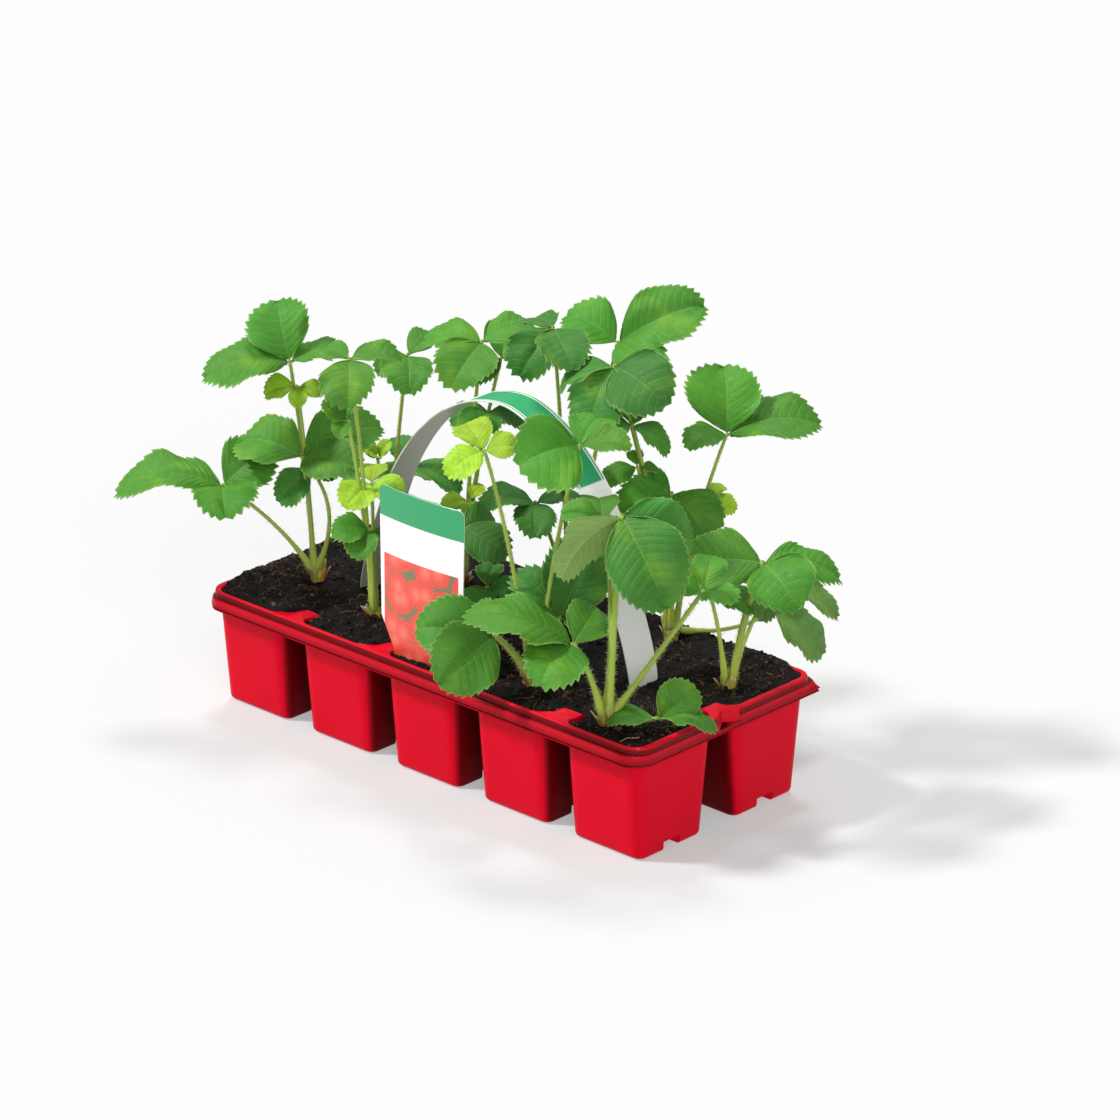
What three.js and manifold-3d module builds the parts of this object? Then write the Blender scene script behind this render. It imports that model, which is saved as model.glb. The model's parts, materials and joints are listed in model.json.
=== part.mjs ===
// A tray of young strawberry plants: one moulded tray of ten cells, soil in each cell, a rooted plant
// with three-part leaves in each, a carry band that arches over the tray and a card label.
// Millimetres, +Z up. X runs along the long side, Y from the front row to the back row.
// Everything is laid out from the middle of the tray; at the end the whole is moved so that the
// middle of its outer box, at floor height, is the origin.
import * as THREE from 'three';
import { mergeVertices } from 'three/addons/utils/BufferGeometryUtils.js';
import Module from 'manifold-3d';

const wasm = await Module();
wasm.setup();

// ---- driving dimensions -------------------------------------------------------------------------
const COLUMNS = 5;                    // cells along X
const ROWS = ['front', 'back'];       // rows along Y
const PITCH_X = 60;                   // cell to cell along the tray
const PITCH_Y = 68.5;                 // row to row
const TRAY_H = 61.5;                  // floor to the top of the rim
const CELL_FOOT = [44.7, 45.6];       // outside of a cell at the floor, X by Y
const CELL_MOUTH = [48.6, 58.8];      // outside of a cell at the rim
const CELL_CORNER = [5, 8.2];         // corner radius at the floor and at the rim
const WALL = 1;                       // wall of the moulding
const GAP = 0.35;                     // air between neighbouring pieces
const FAR = 20;                       // how far a cutting solid runs past what it cuts
const DRAIN_W = 12;                   // channel under each cell, along X
const DRAIN_H = 5;
const DRAIN_HOLE_R = 2.5;
const DIP_Z = 57.5;                   // height of the low ribs between the cells of a row
const NOTCH_Z = 56.5;                 // height of the low rib between the rows
const BAND_W = 20;                    // carry band
const BAND_TAB_W = 24;                // its ends under the tray
const BAND_T = 0.8;
const BAND_FOOT_X = 92;               // where the band goes through the tray
const LABEL_X = -4;                   // middle of the label
const LABEL_Y = -57.5;
const LABEL_T = 0.8;
const LABEL_BOW = 2;                  // how far its sides stand behind its middle
const LABEL_HALF = 28;                // at this distance from the middle
const BLADE_T = 0.8;                  // thickness of a leaflet
const CROWN_R = 4.8;                  // crown of a plant, at the soil
const SOIL_RISE = 2.5;                // middle of the soil above its edge
const SOIL_EDGE_Z = 60;

const COLOURS = {
  tray: 0xd0101c, soil: 0x1d1510, leaf: 0x4f9a2c, band: 0xcfcfc4, label: 0xf3efe6,
};

// ---- small tools --------------------------------------------------------------------------------
// A closed BufferGeometry as a solid that can be joined and cut.
function solidOf(geometry) {
  const bare = geometry.clone();
  bare.deleteAttribute('normal');
  bare.deleteAttribute('uv');
  const merged = mergeVertices(bare, 1e-4);
  return new wasm.Manifold(new wasm.Mesh({
    numProp: 3,
    vertProperties: new Float32Array(merged.attributes.position.array),
    triVerts: new Uint32Array(merged.index.array),
  }));
}

function geometryOf(solid) {
  const mesh = solid.getMesh();
  const geometry = new THREE.BufferGeometry();
  geometry.setAttribute('position', new THREE.BufferAttribute(mesh.vertProperties, 3));
  geometry.setIndex(new THREE.BufferAttribute(mesh.triVerts, 1));
  return geometry;
}

function geometryFrom(points, triangles) {
  const geometry = new THREE.BufferGeometry();
  geometry.setAttribute('position', new THREE.Float32BufferAttribute(points.flat(), 3));
  geometry.setIndex(triangles.flat());
  return geometry;
}

// Rings of equal length, bottom first and counter-clockwise from above, skinned and closed by fans.
function loft(rings) {
  const count = rings[0].length;
  const triangles = [];
  for (let ring = 0; ring + 1 < rings.length; ring += 1) {
    for (let i = 0; i < count; i += 1) {
      const a = ring * count + i;
      const b = ring * count + (i + 1) % count;
      triangles.push([a, b, b + count], [a, b + count, a + count]);
    }
  }
  const top = (rings.length - 1) * count;
  for (let i = 1; i + 1 < count; i += 1) {
    triangles.push([0, i + 1, i], [top, top + i, top + i + 1]);
  }
  return geometryFrom(rings.flat(), triangles);
}

// A rectangle with round corners at height z, counter-clockwise from above.
function roundedRing([width, depth], radius, z, [cx, cy] = [0, 0], steps = 2) {
  const ring = [];
  for (let corner = 0; corner < 4; corner += 1) {
    const sx = corner === 0 || corner === 3 ? 1 : -1;
    const sy = corner < 2 ? 1 : -1;
    for (let i = 0; i <= steps; i += 1) {
      const angle = (corner + i / steps) * Math.PI / 2;
      ring.push([
        cx + sx * (width / 2 - radius) + radius * Math.cos(angle),
        cy + sy * (depth / 2 - radius) + radius * Math.sin(angle),
        z,
      ]);
    }
  }
  return ring;
}

function box([x0, y0, z0], [x1, y1, z1]) {
  const geometry = new THREE.BoxGeometry(x1 - x0, y1 - y0, z1 - z0);
  geometry.translate((x0 + x1) / 2, (y0 + y1) / 2, (z0 + z1) / 2);
  return solidOf(geometry);
}

// An outline in (y, z), carried straight along X from one place to another.
function bar(outline, from, to) {
  const shape = new THREE.Shape(outline.map(([y, z]) => new THREE.Vector2(y, z)));
  const geometry = new THREE.ExtrudeGeometry(shape, { depth: to - from, bevelEnabled: false });
  geometry.applyMatrix4(new THREE.Matrix4().set(0, 0, 1, from, 1, 0, 0, 0, 0, 1, 0, 0, 0, 0, 0, 1));
  return solidOf(geometry);
}

function upright(radius, z0, z1, [x, y], sides) {
  const geometry = new THREE.CylinderGeometry(radius, radius, z1 - z0, sides);
  geometry.rotateX(Math.PI / 2);
  geometry.translate(x, y, (z0 + z1) / 2);
  return solidOf(geometry);
}

const join = (solids) => wasm.Manifold.union(solids);
const mix = (a, b, t) => a + (b - a) * t;

// ---- places -------------------------------------------------------------------------------------
const cells = [];
for (const row of ROWS) {
  for (let column = 1; column <= COLUMNS; column += 1) {
    const x = (column - (COLUMNS + 1) / 2) * PITCH_X;
    const y = (row === 'front' ? -1 : 1) * PITCH_Y / 2;
    cells.push({ name: `${row}_${column}`, centre: [x, y] });
  }
}

// The outside of a cell between two heights, made smaller all round by inset.
function cellBlock(centre, z0, z1, inset) {
  const ringAt = (z) => {
    const t = z / TRAY_H;
    const size = CELL_FOOT.map((foot, i) => mix(foot, CELL_MOUTH[i], t) - 2 * inset);
    return roundedRing(size, mix(CELL_CORNER[0], CELL_CORNER[1], t) - inset, z, centre);
  };
  return solidOf(loft([ringAt(z0), ringAt(z1)]));
}

function drainBar([x, y], grow) {
  const half = DRAIN_W / 2 + grow;
  const outline = [[y - half, -FAR], [y + half, -FAR], [y + half - 1, DRAIN_H + grow],
    [y - half + 1, DRAIN_H + grow]];
  return bar(outline, x - CELL_FOOT[0], x + CELL_FOOT[0]);
}

// ---- tray ---------------------------------------------------------------------------------------
// Half length and half depth of the flange at each height: a flat lip, a step on the long sides,
// a sloping skirt and a bead at its lower edge.
const FLANGE = [
  { z: 52.4, half: [149.5, 68.5], radius: 9 },
  { z: 53.8, half: [149.1, 67.4], radius: 9 },
  { z: 57.6, half: [148.3, 66.6], radius: 10 },
  { z: 58.3, half: [148.1, 65.4], radius: 10 },
  { z: TRAY_H, half: [147.6, 65], radius: 10.5 },
];

function flangeBlock(inset, z0, z1) {
  const steps = FLANGE.map(({ z, half, radius }) => {
    const size = half.map((h) => 2 * (h - inset));
    return roundedRing(size, Math.max(radius - inset, 0.8), z);
  });
  steps[0].forEach((point) => { point[2] = z0; });
  steps[steps.length - 1].forEach((point) => { point[2] = z1; });
  return solidOf(loft(steps));
}

// At the back the bead ends in a square corner at each side.
function beadCorner(side) {
  const [{ z, half, radius }, { z: top }] = FLANGE;
  const xs = [side * (half[0] - radius), side * half[0]].sort((a, b) => a - b);
  return box([xs[0], half[1] - radius, z], [xs[1], half[1], top]);
}

// The ribs between the cells sink under the soil: across X between the cells of a row, where they
// rise again to the rim at the long sides, and along X between the rows, right out to the ends.
// Each is a valley with sloping sides, given by its half widths at the rim and at its floor.
const DIP = { half: 8, rim: 57, floor: 46 };
const NOTCH = { rim: 11, floor: 5 };

function valley({ rim, floor }, z, grow, from, to) {
  const top = TRAY_H + 1;
  const upper = rim + grow;
  const lower = floor + grow / 2;
  return bar([[-upper, top], [-lower, z - grow], [lower, z - grow], [upper, top]], from, to);
}

function dips(grow) {
  const end = FLANGE[0].half[0] + FAR;
  const parts = [valley(NOTCH, NOTCH_Z, grow, -end, end)];
  for (let column = 1; column < COLUMNS; column += 1) {
    const x = (column - COLUMNS / 2) * PITCH_X;
    const half = DIP.half + grow;
    parts.push(valley(DIP, DIP_Z, grow, x - half, x + half));
  }
  return join(parts);
}

function makeTray() {
  const sunk = dips(0);
  const underSunk = dips(WALL);
  const skin = join([flangeBlock(0, FLANGE[0].z, TRAY_H).subtract(sunk), beadCorner(-1), beadCorner(1)]);
  const hollow = flangeBlock(WALL, FLANGE[0].z - 1, TRAY_H - WALL).subtract(underSunk);
  let tray = skin.subtract(hollow);
  tray = tray.add(join(cells.map(({ centre }) => cellBlock(centre, 0, TRAY_H, 0))).subtract(sunk));
  for (const { centre } of cells) {
    const cavity = cellBlock(centre, WALL, TRAY_H + 2, WALL).subtract(drainBar(centre, WALL));
    tray = tray.subtract(cavity).subtract(drainBar(centre, 0));
    tray = tray.subtract(upright(DRAIN_HOLE_R, 1, DRAIN_H + 3, centre, 6));
  }
  for (const side of [-1, 1]) {
    const x = side * BAND_FOOT_X;
    const slot = BAND_T / 2 + GAP;
    const reach = BAND_W / 2 + GAP;
    tray = tray.subtract(box([x - slot, -reach, NOTCH_Z - 4], [x + slot, reach, TRAY_H]));
  }
  return tray;
}

// ---- carry band and label -----------------------------------------------------------------------
// The band's line over the tray, from its left end under the deck to its right end, as [x, z].
const BAND_LINE = [
  [-92, 46], [-92, 54.4], [-92, 55], [-92, 63], [-88, 80], [-79, 108], [-67, 135], [-51, 157],
  [-31, 174], [-11, 183], [8, 185], [28, 178], [45, 166], [60, 150], [72, 125], [81, 98],
  [89, 75], [92, 62], [92, 55], [92, 54.4], [92, 46],
];

function makeBand() {
  const rings = BAND_LINE.map(([x, z], i) => {
    const before = BAND_LINE[Math.max(i - 1, 0)];
    const after = BAND_LINE[Math.min(i + 1, BAND_LINE.length - 1)];
    const along = new THREE.Vector2(after[0] - before[0], after[1] - before[1]).normalize();
    const out = [-along.y * BAND_T / 2, along.x * BAND_T / 2];
    const half = z < DIP_Z - 2.6 ? BAND_TAB_W / 2 : BAND_W / 2;
    return [
      [x + out[0], half, z + out[1]], [x + out[0], -half, z + out[1]],
      [x - out[0], -half, z - out[1]], [x - out[0], half, z - out[1]],
    ];
  });
  return solidOf(loft(rings));
}

// Half width of the label at each height, from its pointed foot in the soil to its top edge.
const LABEL_OUTLINE = [[28, 3], [57, 17.2], [63, 18.2], [78, 27.5], [143, 28.5], [147, 25]];

function labelBlock(thickness, outline) {
  const rings = outline.map(([z, half]) => {
    const across = [-1, -0.5, 0, 0.5, 1].map((s) => s * half);
    const behind = (u) => LABEL_Y + LABEL_BOW * (u / LABEL_HALF) ** 2;
    const near = across.map((u) => [LABEL_X + u, behind(u) - thickness / 2, z]);
    const away = across.map((u) => [LABEL_X + u, behind(u) + thickness / 2, z]).reverse();
    return [...near, ...away];
  });
  return solidOf(strip(rings));
}

// Like loft, but each end is closed by quads between a ring's near and far halves.
function strip(rings) {
  const count = rings[0].length;
  const geometry = loft(rings);
  const triangles = Array.from(geometry.index.array).slice(0, (rings.length - 1) * count * 6);
  const top = (rings.length - 1) * count;
  for (let i = 0; i + 1 < count / 2; i += 1) {
    const [a, b, c, d] = [i, i + 1, count - 2 - i, count - 1 - i];
    triangles.push(a, c, b, a, d, c);
    triangles.push(top + a, top + b, top + c, top + a, top + c, top + d);
  }
  return geometryFrom(rings.flat(), triangles);
}

// ---- plants -------------------------------------------------------------------------------------
// Each plant: where its crown stands, the height of the soil there, and its leaves. A leaf is the
// point where its stalk ends, then three leaflets as [tip x, y, z from that point, half width to
// length, lean]. Lean turns a leaflet's upper face from straight up towards the front right corner.
// A leaf may end with { stem: radius at the foot, bow: how far the stalk's middle is pushed }.
const LEAN_TO = [0.68, -0.73];
const STEM_R = 1.2;
const PLANTS = {
  front_1: {
    crown: [-111, -22, 64],
    leaves: [
      [[-120, -31, 182], [-29, -32, -5, 0.38, 0.3], [-22, 9, 24, 0.45, 1.2], [15, 24, 3, 0.36, 0.2]],
      [[-115, -31, 170], [-10, -13, -3, 0.45, 0.6], [7, -6, -8, 0.4, 1], [11, 7, -3, 0.41, 0.6]],
      [[-112, -31, 133], [-35, -8, 4, 0.42, 0.7], [20, 35, 14, 0.33, 0.3, 0.3], [36, 3, 1, 0.34, 0.6, 0.2]],
      [[-146, -54, 115], [-38, -37, 2, 0.32, 0.2], [22, -22, -4, 0.5, 0.7], [10, 25, 14, 0.5, 0.8]],
      [[-113, -24, 124], [-7, -17, -14, 0.4, 0.8], [15, 0, -2, 0.4, 0.2], [-8, 13, 5, 0.4, 0.2],
        { bow: [22, 2, 6] }],
    ],
  },
  front_2: {
    crown: [-61, -30, 61],
    leaves: [
      [[-70, -39, 198], [18, -16, -16, 0.45, 1], [17, 20, -1, 0.36, 0.2], [-21, 0, -1, 0.36, 0.2]],
      [[-71, -39, 165], [-8, -10, 9, 0.42, 0.8], [-4, 8, 5, 0.4, 0.3], [4, -12, -4, 0.4, 0.6]],
      [[-67, -27, 130], [2, -19, -8, 0.45, 0.9], [17, 6, -3, 0.45, 0.8], [-11, 14, 4, 0.42, 0.3]],
      [[-60, -35, 109], [-10, -17, 2, 0.46, 1, 0.3], [8, -15, -9, 0.46, 1, 0.3], [10, 5, -5, 0.45, 0.3]],
    ],
  },
  front_3: {
    crown: [-4, -34, 61],
    leaves: [
      [[-1, -31, 125], [22, 8, -12, 0.42, 0.7], [3, 22, -2, 0.4, 0.3], [-5, -13, -8, 0.42, 0.5]],
      [[-22, -42, 100], [-15, -8, 2, 0.42, 0.3], [-6, 15, 4, 0.4, 0.2], [9, -10, 3, 0.42, 0.3]],
      [[12, -26, 96], [17, 9, -3, 0.42, 0.4], [8, -17, -4, 0.42, 0.5], [-9, 13, 6, 0.4, 0.2]],
    ],
  },
  front_4: {
    crown: [58, -42, 61],
    leaves: [
      [[50, -61, 92], [-29, -24, 3, 0.38, 0.6, -0.4], [0, -39, -12, 0.42, 0.9, -0.4],
        [-17, 6, 11, 0.36, 0.5, -0.3], { stem: 2 }],
      [[40, -58, 184], [-6, -19, -9, 0.42, 0.5], [13, 9, 3, 0.5, 0.7], [-21, 6, 6, 0.42, 0.4]],
      [[74, -28, 187], [-10, -32, -2, 0.6, 1.1], [22, 12, 3, 0.4, 0.3], [-8, 24, 7, 0.4, 0.3]],
      [[66, -32, 97], [2, 21, 37, 0.38, 0.8, 0.3], [-20, -8, 21, 0.4, 0.8, 0.2], [20, 10, -5, 0.42, 0.4]],
    ],
  },
  front_5: {
    crown: [113, -50, 61],
    leaves: [
      [[120, -49, 170], [-16, -23, -30, 0.36, -1], [31, -1, -38, 0.38, 1.4], [20, 28, -14, 0.34, 0.3],
        { stem: 2 }],
      [[108, -49, 164], [-14, -13, 3, 0.38, 0.4, -0.2], [-16, 17, 3, 0.4, 0.2], [4, -16, -4, 0.38, 0.7, -0.2]],
      [[146, -19, 130], [-15, -18, 6, 0.42, 0.4], [21, -5, 2, 0.4, 0.3], [-8, 16, 11, 0.4, 0.4],
        { stem: 1.5, bow: [4, 2, -10] }],
      [[132, -33, 70], [2, 24, 12, 0.44, 1.3, 0.3], [24, 14, -3, 0.3, 0.4, 0.3], [-11, -28, 6, 0.4, 0.3],
        { bow: [2, -2, -3] }],
      [[105, -65, 105], [-37, -34, 15, 0.34, 0.3, 0.2], [6, -32, -7, 0.46, 0.9, 0.2], [10, 27, 5, 0.45, 0.6],
        { stem: 1.6 }],
    ],
  },
  back_1: {
    crown: [-118, 36, 61],
    leaves: [
      [[-110, 43, 169], [-7, -16, -7, 0.42, 0.6, -0.1], [21, -20, -9, 0.42, 0.9, -0.1], [1, 24, 4, 0.4, 0.2]],
      [[-119, 30, 113], [-6, -6, 9, 0.34, 0.6, -0.1], [3, 6, 9, 0.36, 0.6], [4, -8, 5, 0.34, 0.6, -0.1]],
      [[-109, 44, 108], [-15, 5, 11, 0.42, 0.6], [22, 14, -12, 0.36, 0.3], [-4, -15, -5, 0.42, 0.5]],
      [[-134, 52, 92], [-24, 12, -6, 0.36, 0], [4, 25, -5, 0.38, 0], [-15, -18, 0, 0.38, 0]],
    ],
  },
  back_2: {
    crown: [-60, 30, 61],
    leaves: [
      [[-52, 37, 192], [-27, -14, -2, 0.4, 0.3], [8, -28, -15, 0.45, 0.8], [10, 26, 6, 0.4, 0.3]],
      [[-48, 47, 182], [-4, -20, -8, 0.45, 0.6], [-14, 20, 6, 0.4, 0.2], [16, 14, 2, 0.4, 0.2]],
      [[-52, 42, 154], [-13, -14, -7, 0.4, 0.4, -0.1], [22, 8, -5, 0.4, 0.3], [12, -22, -7, 0.4, 0.5, -0.1]],
      [[-53, 28, 109], [-7, -12, -3, 0.42, 0.5, -0.1], [2, 9, 6, 0.42, 0.4], [9, -8, -5, 0.42, 0.5, -0.1]],
    ],
  },
  back_3: {
    crown: [8, 40, 61],
    leaves: [
      [[0, 33, 213], [-3, -19, -22, 0.42, 0.8], [25, -17, -11, 0.38, 0.8], [-23, 8, -4, 0.4, 0.3]],
      [[24, 54, 206], [29, 32, 16, 0.36, 0.5, 0.2], [-26, -10, 10, 0.5, 0.5], [32, -6, -6, 0.36, 0.7, 0.2]],
      [[-2, 23, 123], [-18, -22, 1, 0.4, 0.2], [16, 18, 0, 0.4, 0.1], [14, -18, -9, 0.42, 0.3]],
    ],
  },
  back_4: {
    crown: [66, 50, 63],
    leaves: [
      [[44, 29, 205], [34, 1, -10, 0.5, 1.2], [3, -23, -27, 0.4, 0.8, 0.2], [-23, -14, -14, 0.34, 0.5, 0.4]],
      [[53, 33, 176], [18, 8, -11, 0.36, 0.2], [-10, -20, -5, 0.42, 0.5], [-15, 19, -1, 0.4, 0.2]],
      [[55, 35, 154], [-8, -15, -8, 0.36, 0.6], [-8, 6, 5, 0.4, 0.3], [8, 6, -2, 0.4, 0.3]],
      [[85, 67, 170], [-14, 16, 28, 0.5, 1.5], [32, 32, 6, 0.36, 0.3], [-5, -25, 0, 0.4, 0.2]],
      [[69, 45, 141], [-24, -3, -2, 0.4, 0.4, -0.3], [-9, -28, -3, 0.4, 0.3, -0.3], [24, 4, -20, 0.5, 0.9]],
      [[78, 61, 137], [13, 6, -6, 0.45, 0.5], [2, 11, 3, 0.4, 0.3], [2, -10, -5, 0.4, 0.4]],
      [[92, 98, 69], [21, 14, -22, 0.38, 0.3], [-16, 4, 13, 0.36, 0.1], [-4, 21, 0, 0.4, 0.1],
        { bow: [6, 10, -10] }],
    ],
  },
  back_5: {
    crown: [127, 23, 61],
    leaves: [
      [[141, 30, 129], [-32, -22, -5, 0.45, 0.7], [22, 31, -8, 0.3, 0.3], [29, -8, -13, 0.5, 1],
        { stem: 2 }],
      [[133, 47, 110], [26, 20, -12, 0.3, 0.2], [5, -14, -13, 0.4, 0.5], [-19, -6, 2, 0.4, 0.4]],
      [[121, 15, 111], [17, 13, -6, 0.4, 0.4], [-12, -3, 9, 0.4, 0.6], [-9, 20, 6, 0.4, 0.2]],
    ],
  },
};

// A leaflet's edge from its foot to its tip, as [share of the length, share of the half width]:
// a wedge at the foot, then broad teeth. Each edge point is joined to one of two points on the rib.
const LEAFLET_EDGE = [[0.3, 0.72], [0.46, 1], [0.5, 0.88], [0.7, 0.93], [0.74, 0.79], [0.92, 0.5]];
const EDGE_TO_RIB = [0, 0, 0, 1, 1, 1];
const RIB = [0.36, 0.68];
const ARCH = 0.13;                    // how high a leaflet's middle stands over its ends
const FOLD = 0.22;                    // how far its edges stand up from its rib
const FOOT_OUT = 1.5;                 // a leaflet's foot, out from the end of the stalk
const FOOT_HALF = 0.5;                // and half its width
const STALK_STEPS = [0, 0.42, 0.94];
const STALK_MIDDLE = new THREE.Vector3(0.32, 0.32, 0.56);
const STALK_TAPER = 0.68;             // a stalk's radius at the leaf, as a share of that at the crown
const UP = new THREE.Vector3(0, 0, 1);

// The points of one leaflet's middle surface, with the direction of its thickness.
function leaflet(hub, [dx, dy, dz, halfWidth, lean, roll = 0]) {
  const reach = new THREE.Vector3(dx, dy, dz);
  const length = reach.length() - FOOT_OUT;
  const along = reach.clone().normalize();
  const up = new THREE.Vector3(lean * LEAN_TO[0], lean * LEAN_TO[1], 1);
  up.addScaledVector(along, -up.dot(along)).normalize();
  up.addScaledVector(new THREE.Vector3().crossVectors(along, up), roll).normalize();
  const side = new THREE.Vector3().crossVectors(along, up);
  const foot = hub.clone().addScaledVector(along, FOOT_OUT);
  const at = (t, s) => foot.clone()
    .addScaledVector(along, t * length)
    .addScaledVector(side, s * halfWidth * length)
    .addScaledVector(up, (4 * ARCH * t * (1 - t) + FOLD * Math.abs(s) * halfWidth) * length);
  const edge = (turn) => [
    foot.clone().addScaledVector(side, turn * FOOT_HALF), ...LEAFLET_EDGE.map(([t, s]) => at(t, turn * s)),
  ];
  return { rim: [...edge(1), at(1, 0), ...edge(-1).reverse()], rib: RIB.map((t) => at(t, 0)), up };
}

// A leaf and its stalk as one closed skin. Going round the end of the stalk, each leaflet's rim runs
// out along its right edge and back along its left, so the rims make one loop; the rims' ends make
// the six-cornered top of the stalk.
function leafBlock(crown, [hubAt, ...rest]) {
  const { stem = STEM_R, bow = [0, 0, 0] } = rest.find((item) => !Array.isArray(item)) ?? {};
  const hub = new THREE.Vector3(...hubAt);
  const turn = ([dx, dy]) => Math.atan2(dy, dx);
  const leaflets = rest.filter(Array.isArray).sort((a, b) => turn(a) - turn(b))
    .map((row) => leaflet(hub, row));
  const points = [];
  const triangles = [];
  // Adds a point of the middle surface as a pair, upper then lower, and returns the upper's number.
  const pair = (point, up) => {
    for (const h of [BLADE_T / 2, -BLADE_T / 2]) points.push(point.clone().addScaledVector(up, h).toArray());
    return points.length - 2;
  };
  const bothFaces = (a, b, c) => triangles.push([a, b, c], [a + 1, c + 1, b + 1]);
  const wall = (a, b) => triangles.push([a, a + 1, b + 1], [a, b + 1, b]);
  const corners = [];
  for (const { rim, rib, up } of leaflets) {
    const edge = rim.map((point) => pair(point, up));
    const [inner, outer] = rib.map((point) => pair(point, up));
    const ribOf = (i) => (EDGE_TO_RIB[Math.max(i - 1, 0)] ? outer : inner);
    const last = edge.length - 1;
    const half = LEAFLET_EDGE.length;
    bothFaces(edge[last], edge[0], inner);
    for (let i = 0; i < half; i += 1) {
      bothFaces(edge[i], edge[i + 1], ribOf(i + 1));
      bothFaces(edge[last - i - 1], edge[last - i], ribOf(i + 1));
      if (ribOf(i) !== ribOf(i + 1)) {
        bothFaces(edge[i], outer, inner);
        bothFaces(edge[last - i], inner, outer);
      }
    }
    bothFaces(edge[half], edge[half + 1], outer);
    bothFaces(edge[half + 1], edge[half + 2], outer);
    for (let i = 0; i < last; i += 1) wall(edge[i], edge[i + 1]);
    corners.push(edge[0], edge[last]);
  }
  const count = corners.length;
  for (let i = 1; i < count; i += 2) wall(corners[i], corners[(i + 1) % count]);
  for (let i = 1; i + 1 < count; i += 1) triangles.push([corners[0], corners[i], corners[i + 1]]);

  // the stalk leaves the crown steeply and then leans out to the leaf
  const out = new THREE.Vector3(hub.x - crown[0], hub.y - crown[1], 0).normalize();
  const foot = new THREE.Vector3(...crown).addScaledVector(out, CROWN_R * 0.35);
  foot.z += CROWN_TOP / 3;
  const rise = hub.clone().sub(foot);
  const middle = rise.clone().multiply(STALK_MIDDLE).add(foot);
  const curve = new THREE.QuadraticBezierCurve3(foot, middle.add(new THREE.Vector3(...bow)), hub);
  // even corners at the foot turn by degrees into the bearings of the leaflets' feet
  const bearings = corners.map((corner) => turn([points[corner][0] - hub.x, points[corner][1] - hub.y]));
  const rings = STALK_STEPS.map((t) => {
    const lift = new THREE.Quaternion().setFromUnitVectors(UP, curve.getTangent(t));
    const centre = curve.getPoint(t);
    return corners.map((_, k) => {
      const bearing = bearings[k] < bearings[0] ? bearings[k] + 2 * Math.PI : bearings[k];
      const angle = mix(bearings[0] + 2 * Math.PI * k / count, bearing, t);
      const spoke = new THREE.Vector3(Math.cos(angle), Math.sin(angle), 0).applyQuaternion(lift);
      return points.push(centre.clone().addScaledVector(spoke, stem * mix(1, STALK_TAPER, t)).toArray()) - 1;
    });
  });
  rings.push(corners.map((corner) => corner + 1));
  for (let ring = 0; ring + 1 < rings.length; ring += 1) {
    for (let i = 0; i < count; i += 1) {
      const next = (i + 1) % count;
      const [a, b] = [rings[ring][i], rings[ring][next]];
      const [c, d] = [rings[ring + 1][next], rings[ring + 1][i]];
      triangles.push([a, b, c], [a, c, d]);
    }
  }
  for (let i = 1; i + 1 < count; i += 1) triangles.push([rings[0][0], rings[0][i + 1], rings[0][i]]);
  return solidOf(geometryFrom(points, triangles));
}

// The crown: a short stub that stands in the soil and swells a little where the stalks leave it.
const CROWN_ROOT = 8;
const CROWN_TOP = 9;

function crownBlock([x, y, z]) {
  const outline = [[0, -CROWN_ROOT], [0.8, -CROWN_ROOT], [1, 3], [0.6, CROWN_TOP], [0, CROWN_TOP]]
    .map(([share, h]) => new THREE.Vector2(share * CROWN_R, h));
  const geometry = new THREE.LatheGeometry(outline, 6);
  geometry.rotateX(Math.PI / 2);
  geometry.translate(x, y, z);
  return solidOf(geometry);
}

function makePlant({ crown, leaves }) {
  return join([crownBlock(crown), ...leaves.map((leaf) => leafBlock(crown, leaf))]);
}

// ---- soil ---------------------------------------------------------------------------------------
function makeSoil({ name, centre }, labelSlot) {
  const floor = WALL + GAP;
  const inset = WALL + GAP;
  const rims = [[SOIL_EDGE_Z - 0.5, 0], [SOIL_EDGE_Z + SOIL_RISE, 10]];
  const ringAt = (z, shrink) => {
    const t = Math.min(z / TRAY_H, 1);
    const size = CELL_FOOT.map((foot, i) => mix(foot, CELL_MOUTH[i], t) - 2 * (inset + shrink));
    return roundedRing(size, Math.max(mix(CELL_CORNER[0], CELL_CORNER[1], t) - inset, 2), z, centre);
  };
  let soil = solidOf(loft([ringAt(floor, 0), ...rims.map(([z, shrink]) => ringAt(z, shrink))]));
  const [x, y, z] = PLANTS[name].crown;
  soil = soil.subtract(drainBar(centre, WALL + GAP));
  soil = soil.subtract(upright(CROWN_R + 2 * GAP, z - CROWN_ROOT - GAP, z + FAR, [x, y], 8));
  return name === 'front_3' ? soil.subtract(labelSlot) : soil;
}

// ---- the whole ----------------------------------------------------------------------------------
const pack = new THREE.Group();

function place(name, solid, colour, roughness) {
  const material = new THREE.MeshStandardMaterial({ color: colour, roughness, metalness: 0 });
  const mesh = new THREE.Mesh(geometryOf(solid), material);
  mesh.name = name;
  pack.add(mesh);
}

place('tray', makeTray(), COLOURS.tray, 0.3);
const labelSlot = labelBlock(LABEL_T + 2 * GAP, [[27.5, 3.4], [57, 18], [65, 20]]);
for (const cell of cells) {
  place(`soil_${cell.name}`, makeSoil(cell, labelSlot), COLOURS.soil, 0.95);
}
for (const [name, plant] of Object.entries(PLANTS)) {
  place(`plant_${name}`, makePlant(plant), COLOURS.leaf, 0.6);
}
place('carry_band', makeBand(), COLOURS.band, 0.5);
place('label_card', labelBlock(LABEL_T, LABEL_OUTLINE), COLOURS.label, 0.5);

const reach = new THREE.Box3().setFromObject(pack);
pack.position.set(-(reach.min.x + reach.max.x) / 2, -(reach.min.y + reach.max.y) / 2, 0);

export default pack;
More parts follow.
